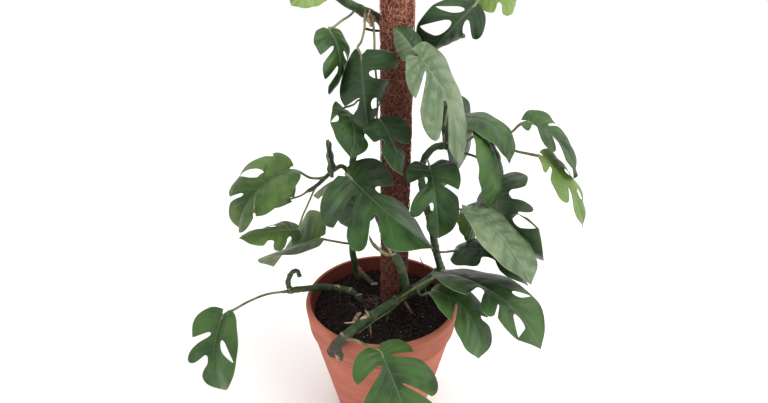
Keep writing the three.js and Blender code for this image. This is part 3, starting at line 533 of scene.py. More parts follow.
# Small bits grown on the stems
STEM_BITS = {
    "main_stem": [
        bit("stalk", 1.1, 0.7, (34, -12, 198), (20, -24, 194), (12, -34, 192), (-7, -55, 193),
            (-16, -64, 192), (-31, -87, 196)),
        bit("dry", 1.7, 0.4, (-16, -60, 192), (-15, -64, 181), (-14, -71, 175)),
        bit("dry", 1.9, 1, (30, -12, 190), (40, -11, 170), (50, -7, 157)),
        bit("dry", 0.9, 0.5, (40, -11, 170), (37, -17, 163), (40, -17, 157)),
        bit("pale", 1.3, 0.5, (-34, -72, 203), (-41, -81, 209), (-47, -86, 213)),
        bit("pale", 0.9, 1.3, (-22, -60, 213), (-19, -60, 208), (-17, -60, 200)),
        bit("pale", 1.6, 2.6, (-28, -68, 204), (-24, -65, 204), (-19, -61, 203)),
        bit("dry", 3.2, 2.2, (-36, -70, 200), (-32, -64, 206), (-27, -58, 207)),
        bit("stalk", 1.2, 3.6, (-16, -22, 300), (-13, -22, 290), (-4, -23, 280), (10, -19, 268)),
        bit("pale", 0.8, 1.6, (-10, -24, 290), (0, -25, 279), (9, -22, 272)),
        bit("pale", 0.6, 2.2, (-4, -25, 318), (4, -24, 292), (12, -20, 271)),
        bit("dry", 3, 3.6, (27, 1, 212), (32, -2, 206), (35, -4, 199)),
        bit("dry", 2.6, 2, (79, 46, 208), (84, 46, 204), (88, 47, 199)),
        bit("dark", 0.5, 1.1, (53, 60, 216), (59, 56, 204), (66, 46, 196)),
        bit("dry", 2.6, 0.9, (-65, -103, 190), (-62, -106, 180), (-59, -105, 171)),
        bit("pale", 1.4, 0.6, (-60, -106, 186), (-56, -107, 176), (-55, -105, 168)),
        bit("green", 3.4, 2.6, (-56, -104, 188), (-51, -105, 178), (-51, -104, 167)),
        bit("dark", 1.6, 0.5, (-67, -102, 184), (-65, -104, 178), (-64, -103, 172)),
    ],
    "left_stem": [
        bit("pale", 1, 1.5, (-68, 23, 190), (-63, 20, 193), (-59, 16, 192)),
        bit("pale", 1.2, 0.8, (-36, 17, 177), (-32, 18, 179), (-28, 20, 177)),
    ],
    "back_stem": [
        bit("dry", 3, 4.2, (-39, 66, 197), (-34, 66, 188), (-30, 68, 178)),
        bit("green", 4.2, 3.6, (-36, 74, 181), (-24, 60, 178), (-12, 48, 173)),
        bit("pale", 1.2, 2.2, (-17, 44, 178), (-12, 43, 179), (-7, 46, 177)),
    ],
    "climbing_stem": [
        bit("dark", 1.3, 1.3, (-20, 27, 535), (-11, 26, 533), (0, 32, 531)),
        bit("dry", 4.2, 5, (-20, 25, 554), (-14, 24, 548), (-9, 27, 541)),
        bit("dry", 0.8, 2.2, (-20, 20, 560), (-17, 19, 550), (-19, 18, 542)),
        bit("pale", 0.7, 1.8, (-12, 20, 556), (-15, 18, 548), (-11, 18, 538)),
        bit("dry", 0.9, 2, (-28, 24, 552), (-22, 22, 549), (-16, 22, 547)),
    ],
}


def turns(count):
    """The angles of that many even steps round a circle."""
    return np.arange(count) * TAU / count


def circle(angle):
    """Level unit vectors at these angles."""
    return np.stack([np.cos(angle), np.sin(angle), 0 * angle], -1)


def hump(away, width):
    """A smooth rise to 1 where away is 0, all but gone two widths off: e to minus their ratio squared."""
    return np.exp(-((away / width) ** 2))


def ripple(points, size, seed, waves=14):
    """Smooth noise from about -1 to 1: the sum of sine waves of about that size in random directions."""
    rng = np.random.default_rng(seed)
    heading = rng.normal(size=(3, waves))
    heading *= rng.uniform(0.7, 1.5, waves) / np.linalg.norm(heading, axis=0)
    phase = rng.uniform(0, TAU, waves)
    return np.sin(points @ heading * (TAU / size) + phase).sum(-1) / math.sqrt(waves)


def rippled(level, points, ripples):
    """A level plus several ripples, each given by its height, its size and its seed."""
    for height, size, seed in ripples:
        level = level + height * ripple(points, size, seed)
    return level


def grid_faces(rows, columns, closed=False):
    """Triangles of a grid of points stored row by row; closed joins the last column to the first."""
    i = np.arange(rows - 1)[:, None] * columns
    j = np.arange(columns if closed else columns - 1)[None, :]
    k = (j + 1) % columns
    a, b, c, d = i + j, i + k, i + columns + k, i + columns + j
    return np.concatenate([np.stack([a, b, c], -1).reshape(-1, 3), np.stack([a, c, d], -1).reshape(-1, 3)])


def cap_faces(first, corners):
    """A fan of triangles that closes a ring of corners; first is the number of its first point."""
    k = first + np.arange(1, corners - 1)
    return np.stack([np.full(corners - 2, first), k, k + 1], -1)


def repeated(faces, count, size):
    """The triangles of count copies of one small shape that has size points."""
    return (faces + size * np.arange(count)[:, None, None]).reshape(-1, 3)


def sheet(points, faces, finish=0, **values):
    """One surface of a piece: its points, its triangles, one finish number for all or one for each
    triangle, and any values at its points."""
    points = np.asarray(points, float)
    return {"points": points, "faces": np.asarray(faces), "finish": finish, "values": values}


def smooth_path(points, count):
    """A centripetal Catmull-Rom curve through the points, as count places at equal steps along it."""
    p = np.asarray(points, float)
    p = np.vstack([2 * p[0] - p[1], p, 2 * p[-1] - p[-2]])
    step = np.sqrt(np.linalg.norm(np.diff(p, axis=0), axis=1))[:, None]
    before, here, after = step[:-2], step[1:-1], step[2:]
    p0, p1, p2, p3 = p[:-3], p[1:-2], p[2:-1], p[3:]
    leaving = ((p1 - p0) / before - (p2 - p0) / (before + here) + (p2 - p1) / here) * here
    arriving = ((p2 - p1) / here - (p3 - p1) / (here + after) + (p3 - p2) / after) * here
    u = np.linspace(0, 1, PATH_STEPS, endpoint=False)[None, :, None]
    fine = ((2 * u**3 - 3 * u**2 + 1) * p1[:, None] + (u**3 - 2 * u**2 + u) * leaving[:, None]
            + (3 * u**2 - 2 * u**3) * p2[:, None] + (u**3 - u**2) * arriving[:, None])
    fine = np.vstack([fine.reshape(-1, 3), p2[-1]])
    travel = np.concatenate([[0], np.cumsum(np.linalg.norm(np.diff(fine, axis=0), axis=1))])
    places = np.linspace(0, travel[-1], count)
    return np.stack([np.interp(places, travel, fine[:, k]) for k in range(3)], -1)


def across_path(path):
    """Two unit vectors across a path at each place; the first is the one its points vary least in."""
    along = np.gradient(path, axis=0)
    along /= np.linalg.norm(along, axis=1)[:, None]
    flattest = np.linalg.svd(path - path.mean(0))[2][-1]
    side = flattest - along * (along @ flattest)[:, None]
    side /= np.linalg.norm(side, axis=1)[:, None]
    return side, np.cross(along, side)


def tube(path, radius, sides, finish=0, **values):
    """A circle carried along a path and closed at both ends. The radius and the values are given for each
    place along the path or for each point."""
    count = len(path)
    side, up = across_path(path)
    angle = turns(sides)[:, None]
    ring = side[:, None] * np.cos(angle) + up[:, None] * np.sin(angle)
    points = path[:, None] + ring * np.reshape(radius, (count, -1, 1))
    points = np.vstack([points.reshape(-1, 3), path[0], path[-1]])
    turn = np.arange(sides)
    first = np.stack([np.full(sides, count * sides), (turn + 1) % sides, turn], -1)
    end = (count - 1) * sides
    last = np.stack([np.full(sides, count * sides + 1), end + turn, end + (turn + 1) % sides], -1)
    faces = np.concatenate([grid_faces(count, sides, closed=True), first, last])
    full = {}
    for name, value in values.items():
        value = np.broadcast_to(np.reshape(value, (count, -1)), (count, sides))
        full[name] = np.concatenate([value.ravel(), value[0, :1], value[-1, :1]])
    return sheet(points, faces, finish, **full)


def joined(sheets):
    """Several sheets as one, with points that lie in one place made one point, and thin faces dropped."""
    starts = np.cumsum([0] + [len(s["points"]) for s in sheets])
    points = np.vstack([s["points"] for s in sheets])
    faces = np.vstack([s["faces"] + start for s, start in zip(sheets, starts)])
    _, first, where = np.unique(np.round(points, 3), axis=0, return_index=True, return_inverse=True)
    faces = where.reshape(-1)[faces]
    good = (faces[:, 0] != faces[:, 1]) & (faces[:, 1] != faces[:, 2]) & (faces[:, 2] != faces[:, 0])
    keys = sheets[0]["values"]
    values = {key: np.concatenate([s["values"][key] for s in sheets])[first] for key in keys}
    return sheet(points[first], faces[good], **values)


def make_piece(name, sheets, finishes, node):
    """Puts sheets into one mesh object with its finishes, and tells the frame what it is. A value that a
    sheet doesn't have is 0 there."""
    starts = np.cumsum([0] + [len(s["points"]) for s in sheets])
    points = np.vstack([s["points"] for s in sheets]) * MM
    faces = np.vstack([s["faces"] + start for s, start in zip(sheets, starts)])
    numbers = np.concatenate([np.broadcast_to(s["finish"], len(s["faces"])) for s in sheets])
    mesh = bpy.data.meshes.new(name)
    mesh.vertices.add(len(points))
    mesh.vertices.foreach_set("co", points.astype(np.float32).ravel())
    mesh.loops.add(faces.size)
    mesh.loops.foreach_set("vertex_index", faces.astype(np.int32).ravel())
    mesh.polygons.add(len(faces))
    mesh.polygons.foreach_set("loop_start", np.arange(0, faces.size, 3, dtype=np.int32))
    mesh.polygons.foreach_set("material_index", numbers.astype(np.int32))
    mesh.update(calc_edges=True)
    mesh.validate()
    mesh.shade_smooth()
    for key in sorted({key for s in sheets for key in s["values"]}):
        whole = np.concatenate([s["values"].get(key, np.zeros(len(s["points"]))) for s in sheets])
        attribute = mesh.attributes.new(key, "FLOAT", "POINT")
        attribute.data.foreach_set("value", whole.astype(np.float32))
    for finish in finishes:
        mesh.materials.append(finish)
    made = bpy.data.objects.new(name, mesh)
    bpy.context.scene.collection.objects.link(made)
    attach(made, "root")
    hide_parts(node)


class Finish:
    """A material in the making: its colour is laid on coat by coat, and done() hands it over."""

    def __init__(self, name, roughness, **constants):
        """An empty material; the constants go straight on the shader's own sockets."""
        self.material = bpy.data.materials.new(name)
        self.material.use_nodes = True
        self.tree = self.material.node_tree
        self.shader = self.tree.nodes["Principled BSDF"]
        self.shader.inputs["Roughness"].default_value = roughness
        for socket, value in constants.items():
            self.shader.inputs[socket.replace("_", " ")].default_value = value
        self.place = self.node("ShaderNodeTexCoord").outputs["Object"]

    def node(self, kind, inputs=(), **settings):
        """A node with its settings; an input given as a socket is linked and any other is set."""
        made = self.tree.nodes.new(kind)
        for name, value in settings.items():
            setattr(made, name, value)
        for name, value in dict(inputs).items():
            if isinstance(value, bpy.types.NodeSocket):
                self.tree.links.new(value, made.inputs[name])
            else:
                made.inputs[name].default_value = value
        return made

    def value(self, name):
        """The number stored at the mesh's points under that name."""
        return self.node("ShaderNodeAttribute", attribute_name=name).outputs["Fac"]

    def stretched(self, *scale):
        """The place on the object with its three axes scaled."""
        return self.node("ShaderNodeMapping", {"Vector": self.place, "Scale": scale}).outputs["Vector"]

    def noise(self, scale, detail=3.0, roughness=0.55, place=None):
        """Random clouds from 0 to 1, that many to a metre."""
        place = self.place if place is None else place
        inputs = {"Vector": place, "Scale": scale, "Detail": detail, "Roughness": roughness}
        return self.node("ShaderNodeTexNoise", inputs).outputs["Fac"]

    def calc(self, operation, a, b=0.0):
        """One step of arithmetic on numbers or sockets."""
        return self.node("ShaderNodeMath", {0: a, 1: b}, operation=operation).outputs[0]

    def times(self, a, b):
        """The product of two numbers or sockets."""
        return self.calc("MULTIPLY", a, b)

    def spread(self, value, low, high, to_low=0.0, to_high=1.0):
        """Value's range from low to high carried smoothly over to a new range, and held at its ends."""
        inputs = {"Value": value, "From Min": low, "From Max": high, "To Min": to_low, "To Max": to_high}
        return self.node("ShaderNodeMapRange", inputs, interpolation_type="SMOOTHSTEP").outputs["Result"]

    def vein(self, width):
        """How far it is to the nearest side vein, up to half a step, and a line that wide on the vein."""
        phase = self.calc("FRACT", self.value("vein"))
        away = self.calc("ABSOLUTE", self.calc("SUBTRACT", phase, 0.5))
        return away, self.spread(away, 0.0, width, 1.0, 0.0)

    def mixed(self, share, a, b):
        """Colour a turning into colour b as share goes from 0 to 1."""
        inputs = {0: share}
        for index, colour in ((6, a), (7, b)):
            inputs[index] = colour if isinstance(colour, bpy.types.NodeSocket) else (*colour, 1)
        return self.node("ShaderNodeMix", inputs, data_type="RGBA").outputs[2]

    def first(self, share, deep, light):
        """The first coat: deep where share is 0 and light where it is 1."""
        self.colour = self.mixed(share, deep, light)

    def over(self, share, colour, amount=1.0):
        """A colour over the coats so far, as share says and never by more than amount."""
        if amount != 1.0:
            share = self.times(share, amount)
        self.colour = self.mixed(share, self.colour, colour)

    def put(self, socket, name):
        """Leads a socket to the shader."""
        self.tree.links.new(socket, self.shader.inputs[name])

    def relief(self, height, depth, strength):
        """Surface relief of a height from 0 to 1, that deep in millimetres."""
        inputs = {"Height": height, "Distance": depth * MM, "Strength": strength}
        self.put(self.node("ShaderNodeBump", inputs).outputs["Normal"], "Normal")

    def done(self):
        """Leads the last coat to the shader and hands the material over."""
        self.put(self.colour, "Base Color")
        return self.material


def leaf_finish(name, deep, light, pale, roughness=0.45, paleness=0.4, sheen_patches=0.0, lit_left_half=None):
    """Leaf skin: two greens in soft clouds and fine grain, with painted shade in the fold beside the
    midrib, and paler along the midrib, the side veins and the thin edge. A sheen can be painted as cloudy
    pale patches between the veins, which are then painted darker, and the light on the lit half of a folded
    leaf as a paler green on the half to the left of the midrib."""
    skin = Finish(name, roughness, Specular_IOR_Level=0.3, Coat_Weight=0.05, Coat_Roughness=0.35)
    grain = skin.noise(320, 2.0)
    out = skin.value("out")
    from_vein, line = skin.vein(0.09)
    line = skin.times(line, skin.spread(out, 0.4, 0.95, 1.0, 0.2))
    rib = skin.spread(skin.value("rib"), 0.45, 1.5, 1.0, 0.0)
    skin.first(skin.spread(skin.noise(21), 0.38, 0.62), deep, light)
    skin.over(skin.spread(grain, 0.4, 0.7), light, 0.2)
    # Painted shade in the fold beside the midrib
    skin.over(skin.spread(out, 0.0, 0.55, 0.35, 0.0), deep)
    # Painted sheen: pale cloudy patches between the veins, with the veins painted darker
    if sheen_patches:
        patch = skin.spread(skin.noise(150, 4.0, 0.6), 0.36, 0.66)
        skin.over(skin.times(patch, skin.spread(from_vein, 0.1, 0.35)), pale, sheen_patches)
        skin.over(line, deep, 0.6)
    else:
        skin.over(line, pale, 0.4 * paleness)
    # Painted light: the half to the left of the midrib paler, as on the lit side of a fold
    if lit_left_half:
        skin.over(skin.spread(skin.value("half"), -0.3, 0.3, 1.0, 0.0), lit_left_half)
    skin.over(skin.spread(out, 0.965, 0.995, 0.0, 0.4), pale)
    skin.over(rib, pale, paleness)
    skin.put(skin.spread(skin.noise(60), 0.3, 0.7, roughness - 0.06, roughness + 0.1), "Roughness")
    height = skin.calc("SUBTRACT", skin.times(grain, 0.15), skin.times(line, 0.5))
    skin.relief(skin.calc("SUBTRACT", height, skin.times(rib, 0.4)), 0.5, 0.6)
    return skin.done()


def underside_finish(name, deep, light):
    """Leaf underside: greyer and duller, with the midrib and veins standing out."""
    skin = Finish(name, 0.6)
    _, line = skin.vein(0.12)
    rib = skin.spread(skin.value("rib"), 0.6, 1.8, 1.0, 0.0)
    skin.first(skin.spread(skin.noise(40), 0.35, 0.65), deep, light)
    skin.over(skin.calc("MAXIMUM", skin.times(line, 0.3), rib), light)
    skin.relief(skin.calc("ADD", line, rib), 0.5, 0.6)
    return skin.done()


def stalk_finish(name, deep, light):
    """Leaf stalk: smooth, from grey green to tan in soft clouds, with a faint fine relief."""
    skin = Finish(name, 0.45, Coat_Weight=0.1)
    skin.first(skin.spread(skin.noise(70, 4.0), 0.35, 0.65), deep, light)
    skin.relief(skin.noise(500), 0.15, 0.4)
    return skin.done()


def stem_finish():
    """Stem skin: dark green with brown blotches and pale specks, dry tan at the joints and scars, and
    nearly black at a torn end."""
    skin = Finish("stem_skin", 0.55, Specular_IOR_Level=0.35)
    patch = skin.noise(45, 6.0, 0.65)
    fine = skin.noise(420, 4.0, 0.6)
    wear = skin.calc("ADD", skin.times(skin.value("joint"), 0.5), skin.times(patch, 0.6))
    flaky = skin.times(skin.value("scar"), skin.spread(fine, 0.3, 0.6, 0.35, 1.0))
    skin.first(skin.spread(patch, 0.4, 0.62), STEM_DEEP, STEM_LIGHT)
    skin.over(skin.spread(wear, 0.55, 0.85), STEM_BROWN)
    skin.over(skin.spread(flaky, 0.3, 0.8), STEM_SCAR)
    skin.over(skin.value("torn"), STEM_TORN, 0.8)
    skin.over(skin.spread(skin.noise(900, 2.0), 0.66, 0.74), STEM_SPECK, 0.45)
    skin.put(skin.spread(patch, 0.3, 0.7, 0.46, 0.7), "Roughness")
    skin.relief(skin.calc("ADD", fine, patch), 0.6, 0.8)
    return skin.done()


def bark_finish(name, deep, light):
    """Roots, sheaths, scars, chips and grains: two tones in fine clouds, with a fine relief."""
    skin = Finish(name, 0.9)
    fine = skin.noise(300, 5.0, 0.65)
    skin.first(skin.spread(fine, 0.35, 0.68), deep, light)
    skin.relief(fine, 0.5, 0.8)
    return skin.done()


def terracotta_finish():
    """Fired clay: warm orange red in flat clouds, with fine grit, pale bloom and faint turning lines,
    painted shade in the groove under the band, and dark inside."""
    clay = Finish("terracotta_clay", 0.82, Specular_IOR_Level=0.2)
    cloud = clay.noise(11, 5.0, 0.6, clay.stretched(1.0, 1.0, 4.0))
    grit = clay.noise(900, 3.0, 0.6)
    wave = {"Vector": clay.place, "Scale": 60.0, "Distortion": 1.5, "Detail": 2.0}
    rings = clay.node("ShaderNodeTexWave", wave, bands_direction="Z").outputs["Fac"]
    clay.first(clay.spread(cloud, 0.3, 0.7), CLAY_DEEP, CLAY_LIGHT)
    clay.over(clay.spread(grit, 0.55, 0.72), CLAY_GRIT, 0.4)
    clay.over(clay.spread(clay.noise(28, 6.0, 0.7), 0.6, 0.78), CLAY_BLOOM, 0.22)
    # Painted shade in the groove under the band
    clay.over(clay.value("groove"), CLAY_INSIDE, 0.55)
    clay.over(clay.value("inside"), CLAY_INSIDE)
    clay.relief(clay.calc("ADD", clay.times(grit, 0.7), clay.times(rings, 0.3)), 0.35, 0.6)
    return clay.done()


def soil_finish():
    """Damp potting soil: near black and crumbly, with a few brown crumbs."""
    soil = Finish("potting_soil_crumb", 0.95, Specular_IOR_Level=0.2)
    clump = soil.noise(130, 6.0, 0.7)
    grain = soil.node("ShaderNodeTexVoronoi", {"Vector": soil.place, "Scale": 420.0}).outputs["Distance"]
    soil.first(soil.spread(clump, 0.35, 0.65), SOIL_DEEP, SOIL_LIGHT)
    soil.over(soil.spread(soil.noise(260, 2.0), 0.68, 0.73), SOIL_BROWN)
    soil.relief(soil.calc("ADD", clump, grain), 1.6, 1.0)
    return soil.done()


def coir_finish(name, deep, light):
    """Coconut fibre: red brown with fine dark gaps, each strand darker or lighter by its tone, and darker
    further down with painted shade from the leaves above."""
    coir = Finish(name, 0.9, Specular_IOR_Level=0.2)
    strand = coir.noise(400, 5.0, 0.7)
    height = coir.node("ShaderNodeSeparateXYZ", {"Vector": coir.place}).outputs["Z"]
    coir.first(coir.spread(strand, 0.4, 0.6), deep, light)
    coir.over(coir.value("tone"), light)
    # Painted shade: the coir darker further down, as if shaded by the leaves above
    coir.over(coir.spread(height, SHADE_BELOW * MM, LIT_ABOVE * MM, 0.7, 0.0), deep)
    coir.relief(strand, 0.8, 0.9)
    return coir.done()


def wood_finish():
    """Bare wood with grain lines that run up the stake."""
    wood = Finish("stake_wood_grain", 0.75)
    grain = wood.noise(420, 4.0, 0.6, wood.stretched(1.0, 1.0, 0.06))
    wood.first(wood.spread(grain, 0.3, 0.7), WOOD_DEEP, WOOD_LIGHT)
    wood.relief(grain, 0.3, 0.7)
    return wood.done()


def margin(t):
    """The edge of a leaf one long and one wide, at share t of the way round from base to tip: its half
    width, a blunted sine that tapers to the tip, and its place along the midrib, half of one minus the
    cosine."""
    angle = math.pi * t
    across = np.sin(angle) ** OVAL_BLUNT * (1 - TIP_TAPER * (t**3 + t**12)) + BASE_WIDTH * (1 - t) ** 6
    return across, (1 - np.cos(angle)) / 2


def cut_profile(q, closed):
    """Half width of a cut at share q of the way from its inner end to the margin: a quarter circle at
    first, then widening in an open cut and narrowing to nothing in a closed one."""
    rise = np.sqrt(np.clip(1 - (1 - np.clip(q / CUT_ROUND, 0, 1)) ** 2, 0, 1))
    if not closed:
        return rise * (0.8 + 0.2 * q + 0.3 * q**4)
    fall = np.clip((HOLE_END - q) / (HOLE_END - HOLE_WIDEST), 0, 1) ** 0.8
    return rise * np.where(q < HOLE_WIDEST, 1, fall)


def leaf_axes(facts):
    """Unit vectors of a leaf's frame: along the midrib's start, to its right and out of its upper face."""
    aim, dip, roll = facts["aim"], facts["dip"], facts["roll"]
    ahead = np.array([math.cos(dip) * math.cos(aim), math.cos(dip) * math.sin(aim), -math.sin(dip)])
    level = UP + ahead * math.sin(dip)
    level /= np.linalg.norm(level)
    right = np.cross(ahead, level)
    rolled_right = right * math.cos(roll) + level * math.sin(roll)
    return ahead, rolled_right, level * math.cos(roll) - right * math.sin(roll)


def blade_points(facts, side, t, s, lift):
    """The flat half leaf at shares t along and s out, folded up at the midrib, bent down outwards on an
    arc, turned about the midrib towards the tip and bowed down along it on another arc. Gives the points
    and the flat distance out."""
    half = facts[side]
    length = facts["length"]
    across, along = margin(t)
    drip = DRIP_TIP * t**12
    edge = length * ((1 + BACK_LOBE) * along - BACK_LOBE + drip)
    rib = length * (t ** facts["sweep"] + drip)
    x = half * across * s
    y = rib + (edge - rib) * s**VEIN_SWEEP

    fold = facts["fold"]
    curl = facts["droop"] / half
    out = (math.sin(fold) - np.sin(fold - curl * x)) / curl
    up = (np.cos(fold - curl * x) - math.cos(fold)) / curl + lift * (1 - t**6)
    out = -out if side == "left" else out
    turn = facts["twist"] * y / length
    sideways = out * np.cos(turn) + up * np.sin(turn)
    upright = up * np.cos(turn) - out * np.sin(turn)

    bow = facts["arch"] / length
    forward = np.sin(bow * y) / bow + upright * np.sin(bow * y)
    raised = (np.cos(bow * y) - 1) / bow + upright * np.cos(bow * y)
    ahead, right, top = leaf_axes(facts)
    points = (np.array(facts["base"], float) + sideways[..., None] * right + forward[..., None] * ahead
              + raised[..., None] * top)
    return points, x


def midrib_shares(cuts):
    """Shares of the midrib's length where lines leave it: evenly spread, and exactly at every cut."""
    even = np.linspace(0, 1, MIDRIB_PLACES)
    for cut in cuts:
        even = even[np.abs(even - cut["at"]) > NEAR_CUT]
    return np.unique(np.concatenate([even, [cut["at"] for cut in cuts]]))


def lobe_lift(facts, side, a, q, t, s, vein, seed):
    """Height of a lobe's relief: cupped across, quilted by a cosine between its veins, grooved along the
    midrib, and waved along the leaf by two sines that grow as the square of the way out."""
    quilt = np.cos(TAU * vein) * QUILT * np.clip(s / QUILT_FROM, 0, 1) * (1 - s**4)
    groove = -GROOVE * hump(s * facts[side] * GROOVE_NARROW, 1)
    long_wave = LONG_WAVE * facts["length"] * s**2 * np.sin(TAU * (LONG_WAVES * t + seed * 0.37))
    short_wave = SHORT_WAVE * s**2 * np.sin(TAU * (SHORT_WAVES * t + seed * 0.61))
    return -LOBE_CUP * q * (2 * a - 1) ** 2 + quilt + groove + (long_wave + short_wave)


def lobe_sheet(facts, side, cuts, number, shares, phase, seed):
    """One lobe between two cuts as a grid: a from 0 to 1 across it and r from 0 at the midrib to 1 outside.

    The grid's lines run along the side veins. A line's place t is blended between the cuts' edges, and its
    reach s runs to the margin, drawn in near open cuts so that the lobe has round corners. Phase counts the
    veins so far.
    """
    before = cuts[number - 1] if number > 0 else None
    after = cuts[number] if number < len(cuts) else None
    start, stop = (before["at"] if before else 0), (after["at"] if after else 1)
    veins = max(1, round((stop - start) / VEIN_STEP))
    a = ((shares[(shares >= start) & (shares <= stop)] - start) / (stop - start))[:, None]
    r = np.concatenate([MIDRIB_ROWS, SLIT_START + (1 - SLIT_START) * CUT_ROWS])[None, :]
    crowded = (1 - np.cos(math.pi * a)) / 2
    a = a + (crowded - a) * np.clip(r / SLIT_START, 0, 1)
    q = np.clip((r - SLIT_START) / (1 - SLIT_START), 0, 1)
    low = start + (before["gap"] * cut_profile(q, before["closed"]) if before else 0)
    high = stop - (after["gap"] * cut_profile(q, after["closed"]) if after else 0)
    t = low * (1 - a) + high * a
    inner = np.full_like(a, SLIT_START)
    if cuts:
        inner = np.interp(start + (stop - start) * a, [c["at"] for c in cuts], [c["inner"] for c in cuts])
    end = np.ones_like(a)
    if before and not before["closed"]:
        end = end - LOBE_ROUND * (1 - a) ** 4
    if after and not after["closed"]:
        end = end - LOBE_ROUND * a**4
    s = np.where(r < SLIT_START, inner * r / SLIT_START, inner + (end - inner) * q)
    vein = phase + a * veins
    points, x = blade_points(facts, side, t, s, lobe_lift(facts, side, a, q, t, s, vein, seed))
    half = np.clip(s / 0.05, 0, 1)
    faces = grid_faces(*t.shape)
    if side == "left":
        half = -half
        faces = faces[:, ::-1]
    values = {"vein": vein, "rib": x, "out": s, "half": half}
    made = sheet(points.reshape(-1, 3), faces, **{name: value.ravel() for name, value in values.items()})
    return made, phase + veins


def point_normals(points, faces):
    """The mean direction of the faces round each point."""
    corner = points[faces]
    flat = np.cross(corner[:, 1] - corner[:, 0], corner[:, 2] - corner[:, 0])
    total = np.zeros_like(points)
    np.add.at(total, faces.ravel(), np.repeat(flat, 3, axis=0))
    return total / np.maximum(np.linalg.norm(total, axis=1), 1e-12)[:, None]


def thick_blade(top, thickness):
    """One closed surface: the upper face, a lower face one thickness under it, and a narrow wall round
    every free edge. The upper face has the first finish and the rest the second."""
    points, faces = top["points"], top["faces"]
    below = points - point_normals(points, faces) * thickness
    edges = np.concatenate([faces[:, [0, 1]], faces[:, [1, 2]], faces[:, [2, 0]]])
    count = len(points)
    forth, back = edges[:, 0] * count + edges[:, 1], edges[:, 1] * count + edges[:, 0]
    free = edges[~np.isin(forth, back)]
    wall = np.concatenate([
        np.stack([free[:, 1], free[:, 0], free[:, 0] + count], -1),
        np.stack([free[:, 1], free[:, 0] + count, free[:, 1] + count], -1),
    ])
    both = {key: np.concatenate([value, value]) for key, value in top["values"].items()}
    whole = np.concatenate([faces, wall, faces[:, ::-1] + count])
    finish = np.concatenate([np.zeros(len(faces), int), np.ones(len(wall) + len(faces), int)])
    return sheet(np.vstack([points, below]), whole, finish, **both)


def leaf_stalk(facts):
    """A stalk from inside the stem to under the midrib's start, thicker at its foot and its neck, and drawn
    in at its end."""
    ahead, _, top = leaf_axes(facts)
    base = np.array(facts["base"], float)
    reach = STALK_REACH * facts["length"]
    path = smooth_path([*facts["stalk"], base - BLADE * top, base + ahead * reach - top], STALK_PLACES)
    share = np.linspace(0, 1, STALK_PLACES)
    swell = FOOT_SWELL * hump(share, FOOT_LENGTH) + NECK_SWELL * hump(share - NECK_PLACE, NECK_LENGTH)
    thick = BIG_STALK_RADIUS if facts["length"] > BIG_LEAF else STALK_RADIUS
    radius = thick * (1 + swell) * np.clip((1 - share) / 0.06, 0.25, 1)
    return tube(path, radius, STALK_SIDES, 2)


def make_leaf(name, facts, finishes, seed):
    """A leaf: its blade of lobes in both halves, its thickness and its stalk."""
    lobes = []
    shares = midrib_shares(facts["cuts"])
    for side in ("left", "right"):
        cuts = sorted((c for c in facts["cuts"] if c["side"] == side), key=lambda c: c["at"])
        phase = 0
        for number in range(len(cuts) + 1):
            made, phase = lobe_sheet(facts, side, cuts, number, shares, phase, seed)
            lobes.append(made)
    blade = thick_blade(joined(lobes), BLADE)
    make_piece(name + "_skin", [blade, leaf_stalk(facts)], finishes, name)


def stem_bar(bar, number):
    """A circle carried along the bar's path: it tapers, swells at the joints, is faintly three sided and
    ringed, and wanders in width. The values joint, scar and torn mark the joints, the leaf scar on each
    joint and the torn end."""
    path = smooth_path(bar["path"], BAR_PLACES)
    share = np.linspace(0, 1, BAR_PLACES)[:, None]
    length = np.linalg.norm(np.diff(path, axis=0), axis=1).sum()
    around = turns(BAR_SIDES)[None, :]
    first, last = bar["radius"]
    radius = first + (last - first) * share
    joint, scar, torn = np.zeros((3, BAR_PLACES, BAR_SIDES))
    for turn, place in enumerate(bar["joints"]):
        tilt = JOINT_TILT * np.sin(around + 2.1 * turn + number)
        away = (share - place) * length / radius + tilt
        joint = np.maximum(joint, hump(away, JOINT_LENGTH))
        facing = 0.5 + 0.5 * np.cos(around - turn * math.pi - 0.6)
        scar = np.maximum(scar, hump(away, SCAR_LENGTH) * facing**1.5)
    if "torn" in bar:
        torn = torn + np.clip(1.4 - share / bar["torn"], 0, 1)
        joint = np.maximum(joint, torn)
    past_ring = share * length / radius % RING_STEP - RING_STEP / 2
    ring = RING_DEPTH * np.exp(-(past_ring**2) / RING_SHARP)
    sided = THREE_SIDED * np.cos(3 * around + number)
    radius = radius * (1 + JOINT_SWELL * joint + SCAR_SWELL * scar + sided - ring)
    radius = radius * (1 + WANDER * ripple(path, WANDER_SIZE, number + 3)[:, None])
    radius = radius + LUMP * ripple(path[:, None] + 6 * circle(around), LUMP_SIZE, number + 9)
    return tube(path, radius, BAR_SIDES, 0, joint=joint, scar=scar, torn=torn)


def stem_bit(facts):
    """A small sheath, root, scar or stub: a bent taper with a lumpy width and round ends."""
    path = smooth_path(facts["path"], BIT_PLACES)
    share = np.linspace(0, 1, BIT_PLACES)
    first, last = facts["radius"]
    ends = np.sqrt(np.clip(np.minimum(share, 1 - share) / 0.12, 0.08, 1))
    radius = (first + (last - first) * share) * ends * (1 + 0.14 * ripple(path, 3.5, 7))
    return tube(path, radius, BIT_SIDES, BIT_FINISH[facts["kind"]])


def make_stem(name, bars, bits, finishes):
    """A stem's bars with the small bits that grow on them."""
    sheets = [stem_bar(bar, number) for number, bar in enumerate(bars)]
    sheets += [stem_bit(facts) for facts in bits]
    make_piece(name + "_skin", sheets, finishes, name)


def turned_sheet(profile, sides, wobble=0.0, **values):
    """A profile of radius and height turned round the upright axis, with a slight wobble of the radius."""
    angle = turns(sides)
    radius = profile[:, :1] * (1 + wobble * ripple(60 * circle(angle), 90, 5))
    points = radius[..., None] * circle(angle) + profile[:, 1:, None] * UP
    full = {key: np.repeat(value, sides) for key, value in values.items()}
    return sheet(points.reshape(-1, 3), grid_faces(len(profile), sides, closed=True), **full)


